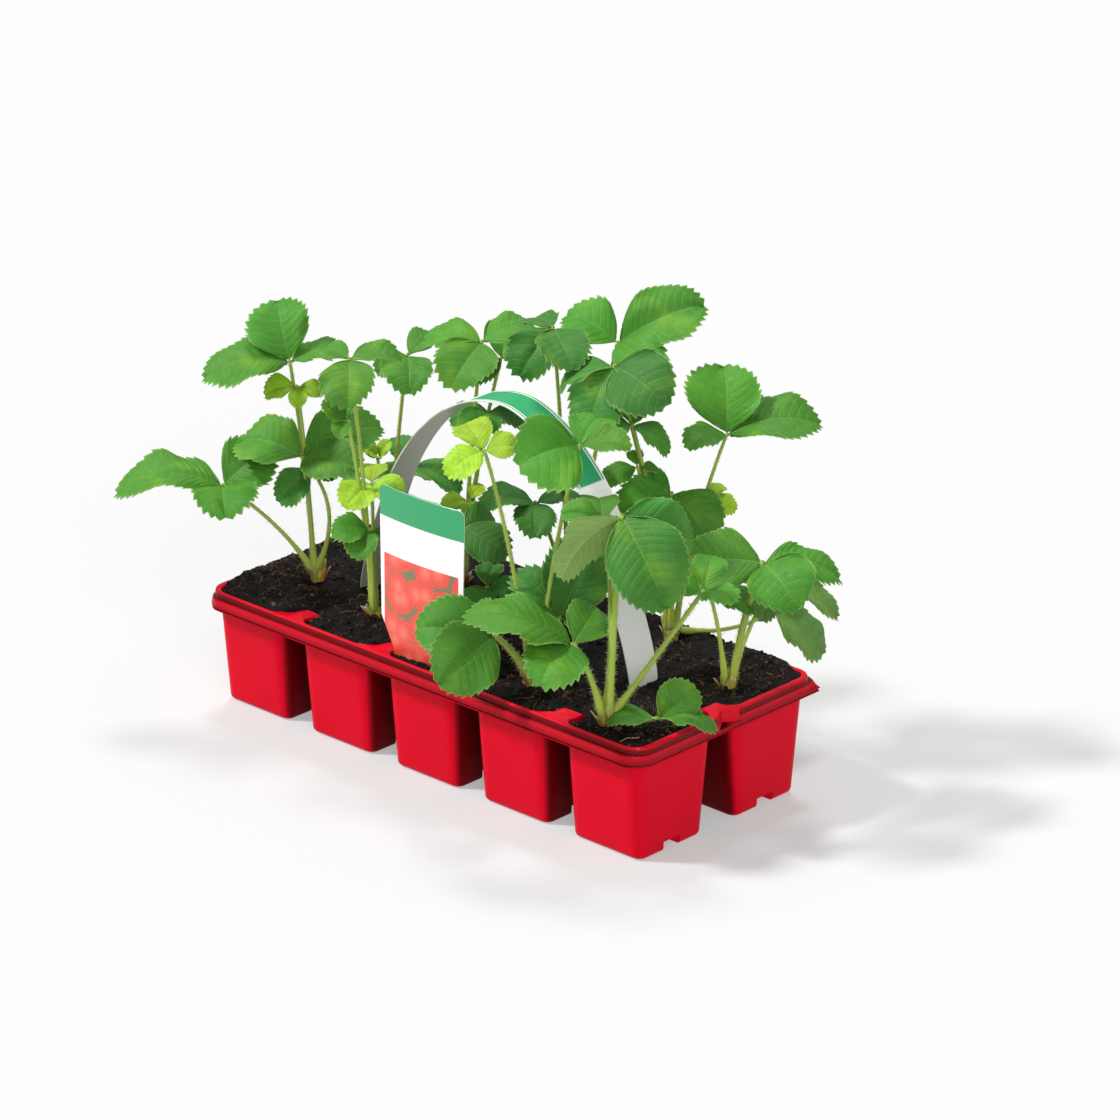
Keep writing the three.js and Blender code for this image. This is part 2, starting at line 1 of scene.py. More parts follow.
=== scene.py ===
"""A tray of young strawberry plants: a moulded tray of ten cells, soil, ten rooted plants, a carry
band and a card label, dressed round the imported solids. Sizes in the tables are millimetres from the
middle of the tray; the mesh is in metres."""

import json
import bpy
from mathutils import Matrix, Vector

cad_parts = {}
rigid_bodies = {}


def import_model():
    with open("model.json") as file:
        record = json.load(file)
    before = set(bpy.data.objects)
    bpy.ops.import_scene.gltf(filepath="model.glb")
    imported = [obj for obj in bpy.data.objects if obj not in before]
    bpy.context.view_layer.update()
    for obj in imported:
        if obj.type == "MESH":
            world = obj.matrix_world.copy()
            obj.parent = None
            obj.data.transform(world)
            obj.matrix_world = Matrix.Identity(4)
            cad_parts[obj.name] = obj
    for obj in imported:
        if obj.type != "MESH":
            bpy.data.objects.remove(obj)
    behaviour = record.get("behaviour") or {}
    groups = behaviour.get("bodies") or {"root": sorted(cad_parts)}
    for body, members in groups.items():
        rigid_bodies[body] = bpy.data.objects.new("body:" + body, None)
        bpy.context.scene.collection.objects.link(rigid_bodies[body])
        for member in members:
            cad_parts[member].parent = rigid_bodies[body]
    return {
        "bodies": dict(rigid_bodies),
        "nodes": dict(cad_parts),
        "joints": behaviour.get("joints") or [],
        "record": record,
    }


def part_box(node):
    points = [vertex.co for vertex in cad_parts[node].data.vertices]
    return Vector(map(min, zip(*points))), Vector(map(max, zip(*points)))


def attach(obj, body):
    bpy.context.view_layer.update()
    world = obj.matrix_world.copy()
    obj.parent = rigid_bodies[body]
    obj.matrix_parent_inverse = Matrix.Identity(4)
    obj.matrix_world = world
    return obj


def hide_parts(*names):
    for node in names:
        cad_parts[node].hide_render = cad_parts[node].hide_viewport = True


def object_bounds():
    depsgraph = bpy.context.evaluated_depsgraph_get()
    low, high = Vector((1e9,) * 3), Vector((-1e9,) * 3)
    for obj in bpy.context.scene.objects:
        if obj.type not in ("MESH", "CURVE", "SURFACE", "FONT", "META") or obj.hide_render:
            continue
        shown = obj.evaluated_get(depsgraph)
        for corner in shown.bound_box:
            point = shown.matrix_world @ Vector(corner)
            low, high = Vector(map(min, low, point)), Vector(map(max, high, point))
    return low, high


bl_info = {
    "name": "Strawberry plant tray",
    "version": (1, 0, 0),
    "blender": (4, 5, 0),
    "location": "View3D > Sidebar > Plant tray",
    "description": "Builds a cell tray of strawberry plants with soil, carry band and label",
    "category": "Add Mesh",
}

import bmesh
import bpy
import numpy as np
from mathutils import Matrix

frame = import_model()
CAD_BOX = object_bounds()
MM = 0.001
TAU = 2 * np.pi


def middle_of_tray():
    """The place of the tray's middle in the frame, in millimetres."""
    low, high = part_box("tray")
    return np.array([(low[0] + high[0]) / 2, (low[1] + high[1]) / 2, 0]) / MM


SHIFT = middle_of_tray()

# ---- the tray's sizes, as in the solids ----------------------------------------------------------
PITCH_X, PITCH_Y = 60.0, 68.5
TRAY_H = 61.5
CELL_FOOT = np.array([44.7, 45.6]) / 2
CELL_MOUTH = np.array([48.6, 58.8]) / 2
CORNER_FOOT, CORNER_MOUTH = 5.0, 8.2
DRAIN_HALF, DRAIN_H = 6.0, 5.0
DIP_Z, NOTCH_Z = 57.5, 56.5
CELLS = {f"{row}_{c}": ((c - 3) * PITCH_X, y * PITCH_Y / 2)
         for row, y in (("front", -1), ("back", 1)) for c in range(1, 6)}

# ---- the plants, as in the solids ----------------------------------------------------------------
# Each plant: its crown, then its leaves as (tint, where the stalk ends, three leaflets). A leaflet is (tip
# x, y, z from the stalk's end, half width to length, lean towards the front right corner, and its roll, if
# it has one).
# A grey tint is painted sheen: the leaf takes the greyish sheen of a top-lit leaf as its colour.
PLANTS = {
    "front_1": [
        (-111, -22, 64),
        ("mid", (-120, -31, 182), (-29, -32, -5, 0.38, 0.3), (-22, 9, 24, 0.45, 1.2),
         (15, 24, 3, 0.36, 0.2)),
        ("young", (-115, -31, 170), (-10, -13, -3, 0.45, 0.6), (7, -6, -8, 0.4, 1), (11, 7, -3, 0.41, 0.6)),
        ("mid", (-112, -31, 133), (-35, -8, 4, 0.42, 0.7), (20, 35, 14, 0.33, 0.3, 0.3),
         (36, 3, 1, 0.34, 0.6, 0.2)),
        ("mid", (-146, -54, 115), (-38, -37, 2, 0.32, 0.2), (22, -22, -4, 0.5, 0.7),
         (10, 25, 14, 0.5, 0.8)),
        ("dark", (-113, -24, 124), (-7, -17, -14, 0.4, 0.8), (15, 0, -2, 0.4, 0.2), (-8, 13, 5, 0.4, 0.2)),
    ],
    "front_2": [
        (-61, -30, 61),
        ("mid", (-70, -39, 198), (18, -16, -16, 0.45, 1), (17, 20, -1, 0.36, 0.2), (-21, 0, -1, 0.36, 0.2)),
        ("mid", (-71, -39, 165), (-8, -10, 9, 0.42, 0.8), (-4, 8, 5, 0.4, 0.3), (4, -12, -4, 0.4, 0.6)),
        ("young", (-67, -27, 130), (2, -19, -8, 0.45, 0.9), (17, 6, -3, 0.45, 0.8),
         (-11, 14, 4, 0.42, 0.3)),
        ("mid", (-60, -35, 109), (-10, -17, 2, 0.46, 1, 0.3), (8, -15, -9, 0.46, 1, 0.3),
         (10, 5, -5, 0.45, 0.3)),
    ],
    "front_3": [
        (-4, -34, 61),
        ("dark", (-1, -31, 125), (22, 8, -12, 0.42, 0.7), (3, 22, -2, 0.4, 0.3, 0.4),
         (-5, -13, -8, 0.42, 0.5)),
        ("mid", (-22, -42, 100), (-15, -8, 2, 0.42, 0.3), (-6, 15, 4, 0.4, 0.2), (9, -10, 3, 0.42, 0.3)),
        ("dark", (12, -26, 96), (17, 9, -3, 0.42, 0.4), (8, -17, -4, 0.42, 0.5), (-9, 13, 6, 0.4, 0.2)),
    ],
    "front_4": [
        (58, -42, 61),
        ("mid", (50, -61, 92), (-29, -24, 3, 0.38, 0.6, -0.4), (0, -39, -12, 0.42, 0.9, -0.4),
         (-17, 6, 11, 0.36, 0.5, -0.3)),
        ("young", (40, -58, 184), (-6, -19, -9, 0.42, 0.5), (13, 9, 3, 0.5, 0.7), (-21, 6, 6, 0.42, 0.4)),
        ("mid", (74, -28, 187), (-10, -32, -2, 0.6, 1.1), (22, 12, 3, 0.4, 0.3), (-8, 24, 7, 0.4, 0.3)),
        ("dark", (66, -32, 97), (2, 21, 37, 0.38, 0.8, 0.3), (-20, -8, 21, 0.4, 0.8, 0.2),
         (20, 10, -5, 0.42, 0.4)),
    ],
    "front_5": [
        (113, -50, 61),
        ("dark", (120, -49, 170), (-16, -23, -30, 0.36, -1), (31, -1, -38, 0.38, 1.4),
         (19, 30, -13, 0.34, 0.3, 0.7)),
        ("mid", (108, -49, 164), (-14, -13, 3, 0.38, 0.4, -0.2), (-16, 17, 3, 0.4, 0.2),
         (-5, -12, -3, 0.34, 0.7, -0.2)),
        ("mid", (146, -19, 130), (-15, -18, 6, 0.42, 0.4), (21, -5, 2, 0.4, 0.3), (-8, 16, 11, 0.4, 0.4)),
        ("mid", (135, -38, 67), (8, 18, 13, 0.43, 1.3, 0.3), (25, 13, -2, 0.34, 0),
         (-14, -19, -1, 0.42, 0)),
        ("mid", (105, -65, 105), (-37, -34, 15, 0.34, 0.3, 0.2), (6, -32, -7, 0.46, 0.9, 0.2),
         (-7, 26, 8, 0.4, 0.7, 0.2)),
    ],
    "back_1": [
        (-118, 36, 61),
        ("mid", (-110, 43, 169), (-7, -16, -7, 0.42, 0.6, -0.1), (21, -20, -9, 0.42, 0.9, -0.1),
         (1, 24, 4, 0.4, 0.2)),
        ("young", (-119, 30, 113), (-6, -6, 9, 0.34, 0.6, -0.1), (3, 6, 9, 0.36, 0.6),
         (4, -8, 5, 0.34, 0.6, -0.1)),
        ("dark", (-109, 44, 108), (-15, 5, 11, 0.42, 0.6), (22, 14, -12, 0.36, 0.3),
         (-4, -15, -5, 0.42, 0.5)),
        ("mid", (-134, 52, 92), (-24, 12, -6, 0.36, 0), (4, 25, -5, 0.38, 0), (-15, -18, 0, 0.38, 0)),
    ],
    "back_2": [
        (-60, 30, 61),
        ("mid", (-52, 37, 192), (-27, -14, -2, 0.4, 0.3), (8, -28, -15, 0.45, 0.8), (10, 26, 6, 0.4, 0.3)),
        ("mid", (-48, 47, 182), (-4, -20, -8, 0.45, 0.6), (-14, 20, 6, 0.4, 0.2), (16, 14, 2, 0.4, 0.2)),
        ("dark", (-52, 42, 154), (-13, -14, -7, 0.4, 0.4, -0.1), (22, 8, -5, 0.4, 0.3),
         (12, -22, -7, 0.4, 0.5, -0.1)),
        ("young", (-53, 28, 109), (-7, -12, -3, 0.42, 0.5, -0.1), (2, 9, 6, 0.42, 0.4),
         (9, -8, -5, 0.42, 0.5, -0.1)),
    ],
    "back_3": [
        (8, 40, 61),
        ("dark", (0, 33, 213), (-3, -19, -22, 0.42, 0.8), (25, -17, -11, 0.38, 0.8),
         (-23, 8, -4, 0.4, 0.3)),
        ("mid", (24, 54, 206), (29, 32, 16, 0.36, 0.5, 0.2), (-26, -10, 10, 0.5, 0.5),
         (32, -6, -6, 0.36, 0.7, 0.2)),
        ("dark", (-2, 23, 123), (-18, -22, 1, 0.4, 0.2), (16, 18, 0, 0.4, 0.1), (14, -18, -9, 0.42, 0.3)),
    ],
    "back_4": [
        (66, 50, 63),
        ("dark", (44, 29, 205), (34, 1, -10, 0.5, 1.2), (3, -23, -27, 0.4, 0.8, 0.2),
         (-23, -14, -14, 0.34, 0.5, 0.4)),
        ("mid", (53, 33, 176), (18, 8, -11, 0.36, 0.2), (-10, -20, -5, 0.42, 0.5), (-15, 19, -1, 0.4, 0.2)),
        ("mid", (55, 35, 154), (-8, -15, -8, 0.36, 0.6), (-8, 6, 5, 0.4, 0.3), (8, 6, -2, 0.4, 0.3)),
        ("mid", (85, 67, 170), (-14, 16, 28, 0.5, 1.5), (32, 32, 6, 0.36, 0.3), (-5, -25, 0, 0.4, 0.2)),
        ("mid", (69, 45, 141), (-24, -3, -2, 0.4, 0.4, -0.3), (-9, -28, -3, 0.4, 0.3, -0.3),
         (24, 4, -20, 0.5, 0.9)),
        ("young", (78, 61, 137), (13, 6, -6, 0.45, 0.5), (2, 11, 3, 0.4, 0.3), (2, -10, -5, 0.4, 0.4)),
        ("grey", (92, 98, 69), (21, 14, -22, 0.38, 0.3), (-16, 4, 13, 0.36, 0.1), (-4, 21, 0, 0.4, 0.1)),
    ],
    "back_5": [
        (127, 23, 61),
        ("mid", (141, 30, 129), (-32, -22, -5, 0.45, 0.7), (22, 31, -8, 0.3, 0.3), (29, -8, -13, 0.5, 1)),
        ("grey", (133, 47, 110), (26, 20, -12, 0.3, 0.2), (5, -14, -13, 0.4, 0.5), (-19, -6, 2, 0.4, 0.4)),
        ("mid", (121, 15, 111), (17, 13, -6, 0.4, 0.4), (-12, -3, 9, 0.4, 0.6), (-9, 20, 6, 0.4, 0.2)),
    ],
}
# A stalk's radius at its foot and how far its middle is pushed, for the leaves whose stalks aren't plain.
PLAIN_STALK = (1.2, (0, 0, 0))
STALKS = {("front_1", 4): (1.2, (22, 2, 6)), ("front_4", 0): (2, (0, 0, 0)),
          ("front_5", 0): (2, (0, 0, 0)), ("front_5", 1): (1.2, (8, 1, 0)),
          ("front_5", 2): (1.5, (4, 2, -10)), ("front_5", 3): (1.2, (2, -2, -3)),
          ("front_5", 4): (1.6, (0, 0, 0)), ("back_4", 6): (1.2, (6, 10, -10)),
          ("back_5", 0): (2, (0, 0, 0))}
LEAN_TO = np.array([0.68, -0.73])
ARCH, FOLD = 0.13, 0.22
FOOT_OUT = 1.5
CROWN_R, CROWN_TOP = 4.8, 9.0
STALK_MIDDLE = np.array([0.32, 0.32, 0.56])
STALK_TAPER, STALK_ROWS, STALK_SIDES = 0.68, 26, 9
LEAF_STEM_SIDES = 6
STOUT_STALK, THICK_SHEATH_BELOW = 1.4, 1.8
# Hairs of a stalk: how many to a millimetre, and how long, on stout stalks and on the others.
STOUT_HAIRS, FINE_HAIRS = (9, 2.1), (4, 1.4)


# ---- noise and small maths -----------------------------------------------------------------------
LATTICE = 256


def hold_inside(points, room=0.004):
    """Points in metres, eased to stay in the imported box: what comes nearer to a side or the top than room,
    or passes it, ends at room tanh(overshoot / room) past that line. The floor side is left alone."""
    low, high = np.array(CAD_BOX[0]), np.array(CAD_BOX[1])
    over = np.maximum(points - (high - room), 0)
    points = np.where(over > 0, high - room + room * np.tanh(over / room), points)
    under = np.maximum((low + room) - points, 0) * [1, 1, 0]
    return np.where(under > 0, low + room - room * np.tanh(under / room), points)


def smooth(x):
    """The smooth step: 0 below 0, 1 above 1, and 3x^2 - 2x^3 between."""
    x = np.clip(x, 0, 1)
    return x * x * (3 - 2 * x)


def unit(v):
    """Vectors along the last axis, made one long."""
    return v / np.maximum(np.linalg.norm(v, axis=-1, keepdims=True), 1e-12)


def rgb(colour):
    """A colour property as an array."""
    return np.array(colour[:])


def run_of(steps):
    """How far along a line each of its points lies, from the lengths of its steps."""
    return np.concatenate([[0], np.cumsum(steps)])


def with_z(xy, z):
    """Points of a level line (n x 2) at height z, one for all or one for each."""
    return np.concatenate([xy, np.broadcast_to(z, len(xy))[:, None]], 1)


def past_rib(x):
    """How far x lies to the right of the middle of the nearest rib between two cells."""
    return ((x / PITCH_X) % 1 - 0.5) * PITCH_X


def lattice_noise(x, y, size, seed):
    """Value noise: random numbers on a square lattice of the given size, blended by the smooth step."""
    n = LATTICE
    table = np.random.default_rng(seed).uniform(-1, 1, (n, n))
    gx, gy = np.floor(x / size), np.floor(y / size)
    fx, fy = smooth(x / size - gx), smooth(y / size - gy)
    ix, iy = gx.astype(int), gy.astype(int)
    a, b = table[ix % n, iy % n], table[(ix + 1) % n, iy % n]
    c, d = table[ix % n, (iy + 1) % n], table[(ix + 1) % n, (iy + 1) % n]
    return (a + (b - a) * fx) * (1 - fy) + (c + (d - c) * fx) * fy


def curve_through(knots, t):
    """A smooth curve through knots (t, value): cubic Hermite pieces whose slopes are finite differences."""
    x, y = np.array(knots, float).T
    slope = np.gradient(y, x)
    i = np.clip(np.searchsorted(x, t, side="right") - 1, 0, len(x) - 2)
    h = x[i + 1] - x[i]
    u = np.clip((t - x[i]) / h, 0, 1)
    return ((2 * u**3 - 3 * u**2 + 1) * y[i] + (u**3 - 2 * u**2 + u) * h * slope[i]
            + (3 * u**2 - 2 * u**3) * y[i + 1] + (u**3 - u**2) * h * slope[i + 1])


# ---- meshes --------------------------------------------------------------------------------------
class Piece:
    """Gathers points, faces and point values in millimetres from the tray's middle, and makes one mesh."""

    def __init__(self):
        self.points, self.faces, self.uvs, self.values, self.count = [], [], [], {}, 0

    def add(self, points, faces, uv=None, **values):
        """Adds points (n x 3) and faces (m x 3 or m x 4). A value is one number or row for all points, or
        one for each."""
        n = len(points)
        self.points.append(points)
        self.faces.append(faces + self.count)
        self.uvs.append(np.zeros((n, 2)) if uv is None else uv)
        for key, value in values.items():
            value = np.asarray(value, float)
            wide = (n,) if value.ndim == 0 or value.shape == (n,) else (n, value.shape[-1])
            self.values.setdefault(key, []).append((self.count, np.broadcast_to(value, wide)))
        self.count += n

    def copies(self, points, faces, **values):
        """Adds copies of a small shape: points is copies x corners x 3, and faces is of one copy."""
        count, corners = points.shape[:2]
        faces = faces + (np.arange(count) * corners)[:, None, None]
        self.add(points.reshape(-1, 3), faces.reshape(-1, faces.shape[-1]), **values)

    def grid(self, points, uv=None, caps=True, **values):
        """Adds a grid, rows x columns x 3, whose last column joins the first and whose face normal is
        column direction x row direction. caps closes the first and last rows by fans."""
        rows, cols = points.shape[:2]
        count, start = rows * cols, self.count
        def per_point(value):
            value = np.asarray(value, float)
            return value.reshape(count, *value.shape[2:]) if value.ndim > 1 else value
        index = np.arange(count).reshape(rows, cols)
        index = np.concatenate([index, index[:, :1]], axis=1)
        quads = np.stack([index[:-1, :-1], index[:-1, 1:], index[1:, 1:], index[1:, :-1]], -1)
        points = per_point(points)
        uv = np.zeros((count, 2)) if uv is None else per_point(uv)
        values = {key: per_point(value) for key, value in values.items()}
        self.add(points, quads.reshape(-1, 4), uv, **values)
        if caps:
            first = np.stack([np.full(cols, count), index[0, 1:], index[0, :-1]], -1)
            last = np.stack([np.full(cols, count + 1), index[-1, :-1], index[-1, 1:]], -1)
            self.faces.append(np.concatenate([first, last]) + start)
            ends = np.stack([points[:cols].mean(0), points[-cols:].mean(0)])
            values = {key: value[[0, -1]] if value.ndim and len(value) == count else value
                      for key, value in values.items()}
            self.add(ends, np.zeros((0, 3), int), uv[[0, -1]], **values)

    def tube(self, path, radius, sides, binormal, **values):
        """A tube round a path (n x 3) that lies in a plane with the given binormal: each ring is
        path + radius (cos a e1 + sin a e2), with e1 the binormal and e2 = tangent x binormal."""
        tangent = unit(np.gradient(path, axis=0))
        e1 = unit(binormal - tangent * (tangent @ binormal)[:, None])
        e2 = np.cross(tangent, e1)
        a = np.linspace(0, TAU, sides, endpoint=False)[None, :, None]
        ring = np.cos(a) * e1[:, None] + np.sin(a) * e2[:, None]
        def per_ring(value):
            each = np.ndim(value) and len(value) == len(path)
            return np.repeat(value[:, None], sides, 1) if each else value
        values = {key: per_ring(value) for key, value in values.items()}
        self.grid(path[:, None] + radius[:, None, None] * ring, **values)

    def build(self, name, material, slot, replaces):
        """Makes the mesh object, in metres in the frame, rides it on the root body and returns it."""
        points = (np.concatenate(self.points) + SHIFT) * MM
        if slot == "plant":
            points = hold_inside(points)
        mesh = bpy.data.meshes.new(name)
        mesh.vertices.add(len(points))
        mesh.vertices.foreach_set("co", points.astype(np.float32).ravel())
        sizes = np.concatenate([np.full(len(f), f.shape[1]) for f in self.faces])
        corners = np.concatenate([f.ravel() for f in self.faces])
        mesh.loops.add(len(corners))
        mesh.loops.foreach_set("vertex_index", corners.astype(np.int32))
        mesh.polygons.add(len(sizes))
        starts = np.concatenate([[0], np.cumsum(sizes)[:-1]])
        mesh.polygons.foreach_set("loop_start", starts.astype(np.int32))
        mesh.update(calc_edges=True)
        uv = np.concatenate(self.uvs)
        if uv.any():
            layer = mesh.uv_layers.new(name="UVMap")
            layer.uv.foreach_set("vector", uv[corners].astype(np.float32).ravel())
        for key, runs in self.values.items():
            wide = 1 if runs[0][1].ndim == 1 else runs[0][1].shape[1]
            data = np.zeros((len(points), wide))
            for start, value in runs:
                data[start:start + len(value)] = value.reshape(len(value), -1)
            if wide == 1:
                mesh.attributes.new(key, "FLOAT", "POINT").data.foreach_set("value", data.ravel())
            else:
                rgba = np.concatenate([data, np.ones((len(points), 1))], 1)
                mesh.attributes.new(key, "FLOAT_COLOR", "POINT").data.foreach_set("color", rgba.ravel())
        mesh.polygons.foreach_set("use_smooth", np.ones(len(sizes), bool))
        mesh.materials.append(material)
        mesh.validate()
        obj = bpy.data.objects.new(name, mesh)
        bpy.context.scene.collection.objects.link(obj)
        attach(obj, "root")
        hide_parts(*replaces)
        return obj


# ---- materials -----------------------------------------------------------------------------------
class Socket:
    """A shader value. Arithmetic on it adds Math nodes to its tree."""

    def __init__(self, tree, value):
        self.tree, self.value = tree, value

    def math(self, kind, *others):
        """A Math node of the given kind."""
        node = self.tree.nodes.new("ShaderNodeMath")
        node.operation = kind
        for slot, item in zip(node.inputs, (self, *others)):
            put(self.tree, slot, item)
        return Socket(self.tree, node.outputs[0])

    __add__ = __radd__ = lambda self, other: self.math("ADD", other)
    __mul__ = __rmul__ = lambda self, other: self.math("MULTIPLY", other)
    __sub__ = lambda self, other: self.math("SUBTRACT", other)
    __rsub__ = lambda self, other: (self * -1).math("ADD", other)
    __truediv__ = lambda self, other: self.math("DIVIDE", other)
    __pow__ = lambda self, other: self.math("POWER", other)

    def step(self, low, high):
        """0 at low and 1 at high, with a smooth step between, which may run downwards."""
        node = self.tree.nodes.new("ShaderNodeMapRange")
        node.interpolation_type = "SMOOTHSTEP"
        for slot, item in zip(node.inputs[:3], (self, low, high)):
            put(self.tree, slot, item)
        return Socket(self.tree, node.outputs[0])


def put(tree, slot, item):
    """Links a shader value to an input, or sets the input to a plain number, vector or colour."""
    if isinstance(item, Socket):
        tree.links.new(item.value, slot)
    elif slot.type == "RGBA" and len(item) == 3:
        slot.default_value = (*item, 1)
    else:
        slot.default_value = item


class Finish:
    """One material: a Principled shader, and the nodes that feed it."""

    def __init__(self, name, **constants):
        self.material = bpy.data.materials.new(name)
        self.material.use_nodes = True
        self.tree = self.material.node_tree
        self.shader = self.tree.nodes["Principled BSDF"]
        for key, value in constants.items():
            put(self.tree, self.shader.inputs[key.replace("_", " ")], value)
        self.where = self.node("TexCoord", out="Object")

    def node(self, kind, out=0, settings=None, **inputs):
        """Any node: its settings, its inputs by name (with _ for a space), and one of its outputs."""
        node = self.tree.nodes.new("ShaderNode" + kind)
        for key, value in (settings or {}).items():
            setattr(node, key, value)
        for key, value in inputs.items():
            put(self.tree, node.inputs[key.replace("_", " ")], value)
        return Socket(self.tree, node.outputs[out])

    def point(self, name, out="Fac"):
        """A point value of the mesh."""
        return self.node("Attribute", out, {"attribute_name": name})

    def uv(self):
        """The UV map and its two numbers."""
        uv = self.node("TexCoord", "UV")
        first = self.node("SeparateXYZ", "X", Vector=uv)
        return uv, first, Socket(self.tree, first.value.node.outputs["Y"])

    def noise(self, size, detail=3, rough=0.5):
        """Noise with features about size millimetres wide."""
        return self.node("TexNoise", Vector=self.where, Scale=1 / (size * MM), Detail=detail,
                         Roughness=rough)

    def mix(self, a, b, share):
        """From colour a to colour b."""
        node = self.tree.nodes.new("ShaderNodeMix")
        node.data_type = "RGBA"
        for slot, item in ((node.inputs[0], share), (node.inputs[6], a), (node.inputs[7], b)):
            put(self.tree, slot, item)
        return Socket(self.tree, node.outputs[2])

    def set(self, **inputs):
        """Links values to the shader's own inputs."""
        for key, value in inputs.items():
            put(self.tree, self.shader.inputs[key.replace("_", " ")], value)

    def bump(self, height, depth):
        """A bump of the given depth in millimetres."""
        self.set(Normal=self.node("Bump", Height=height, Distance=depth * MM, Strength=1.0))


# ---- tray and soil -------------------------------------------------------------------------------
TRAY_WALL = 0.8
LIP_ROUND, FOOT_ROUND = 0.95, 1.2
LIP_HALF = np.array([147.6, 65.0])
LIP_CORNER = 10.5
# The flange below the lip: how far each line stands out beyond the lip at the ends and at the long
# sides, and its height. Lines from RAIL_FROM down make the rail.
FLANGE = [(0.08, 0.05, 59.6), (0.16, 0.1, 58.8), (0.22, 0.3, 58.45), (0.28, 1.1, 58.3), (0.34, 1.8, 58.2),
          (0.42, 2.2, 57.9), (0.52, 2.42, 57.4), (0.75, 2.55, 56.4), (1.0, 2.65, 55.3), (1.1, 2.7, 54.9),
          (1.22, 2.85, 54.3), (1.15, 2.75, 54.0), (0.6, 1.9, 53.8), (0.55, 1.8, 53.0), (0.9, 2.4, 52.8),
          (1.0, 2.5, 52.6), (1.0, 2.5, 52.3)]
SQUARE_FROM, RAIL_FROM = 3, 9
SCALLOP_IN, SCALLOP_HALF = 5.3, 7.8
# The deck's low ribs and the notch between the rows: where each is at its lowest and where it meets the
# rim again, along Y, how far along X they reach, and how softly they end.
DIP_HALF, DIP_EASE, DIP_FLOOR, DIP_RIM = 7.2, 1.6, 44.5, 50.5
BACK_DIP_FLOOR, BACK_DIP_RIM = 52.0, 64.0
RIBS_END, RIB_HALF, RIB_CROWN = 2.2 * PITCH_X, 5.7, 1.1
CROWN_END, CROWN_EASE = 55, 4
NOTCH_FLOOR, NOTCH_RIM, NOTCH_END, NOTCH_EASE = 5.0, 11.0, 130, 5
TURNS = np.radians([22, 45, 68, 90])
WALL_Z, LOW_WALL = (56, 45, 30, 14), 40
# The soil: its height at the walls, how much the dome adds in any cell and in the first, its lumps (height,
# width, seed), what the spilled soil adds at the back and over the ribs, and how far its left side sinks.
SOIL_Z, DOME, DOME_FIRST = 59.4, 1.9, 2.8
LUMPS = [(1.5, 9, 1), (1.0, 4, 2), (0.6, 1.9, 3)]
SPILL_BACK, SPILL_RIB, SIDE_DROP = 2.7, 2.4, 1.3
# The front ends of the ribs that stay bare of crumbs: how far out they start, and their half width.
FRONT_END, FRONT_HALF = 46, 7.5


def corner_hit(dx, dy, half_x, half_y, radius):
    """How far a rounded rectangle's edge lies from its middle along (dx, dy): the nearer of half_x / |dx|
    and half_y / |dy|, or the corner's circle where both of those lie beyond the corner's middle."""
    ax, ay = np.maximum(np.abs(dx), 1e-9), np.maximum(np.abs(dy), 1e-9)
    flat = np.minimum(half_x / ax, half_y / ay)
    cx, cy = half_x - radius, half_y - radius
    along = ax * cx + ay * cy
    arc = along + np.sqrt(np.maximum(along**2 - cx**2 - cy**2 + radius**2, 0))
    return np.where((flat * ax > cx) & (flat * ay > cy) & (radius > 0), arc, flat)


def deck_height(x, y):
    """Height of the deck: the rim's, less smooth valleys across the ribs of a row and along the rib between
    the rows. The ribs are crowned, so their sides lie a little lower than their middles."""
    rib = np.abs(past_rib(x))
    across = (1 - smooth((rib - DIP_HALF + DIP_EASE) / (2 * DIP_EASE))) * (np.abs(x) < RIBS_END)
    low, high = np.where(y < 0, DIP_FLOOR, BACK_DIP_FLOOR), np.where(y < 0, DIP_RIM, BACK_DIP_RIM)
    dip = across * (1 - smooth((np.abs(y) - low) / (high - low)))
    crown = RIB_CROWN * np.minimum(rib / RIB_HALF, 1)**2 * across
    crown = crown * (1 - smooth((np.abs(y) - CROWN_END) / CROWN_EASE))
    notch = 1 - smooth((np.abs(y) - NOTCH_FLOOR) / (NOTCH_RIM - NOTCH_FLOOR))
    notch = notch * (1 - smooth((np.abs(x) - NOTCH_END) / NOTCH_EASE))
    return TRAY_H - np.maximum(np.maximum((TRAY_H - DIP_Z) * dip, (TRAY_H - NOTCH_Z) * notch), crown)


def channel_angles(foot):
    """The two directions from a cell's middle that pass just inside and just outside its drain channel."""
    return np.arctan2(DRAIN_HALF - 0.25, foot), np.arctan2(DRAIN_HALF + 0.25, foot)


def cell_rays():
    """Directions round a cell, the same in all four quarters, so that neighbouring cells share points."""
    foot = CELL_FOOT - TRAY_WALL
    inner, rim = np.array([PITCH_X, PITCH_Y]) / 2, LIP_HALF - LIP_ROUND - [2 * PITCH_X, PITCH_Y / 2]
    fixed = [0, np.pi / 2, np.arctan2(inner[1], inner[0]), np.arctan2(rim[1], inner[0]),
             np.arctan2(inner[1], rim[0]), np.arctan2(inner[1] - SCALLOP_HALF, rim[0]),
             *channel_angles(foot[0])]
    even = np.linspace(0, np.pi / 2, 41)
    kept = [a for a in even if min(abs(a - b) for b in fixed) > 0.017]
    quarter = np.sort(np.concatenate([fixed, kept]))
    first, back = quarter[:-1], quarter[:0:-1]
    return np.concatenate([first, np.pi - back, np.pi + first, TAU - back])


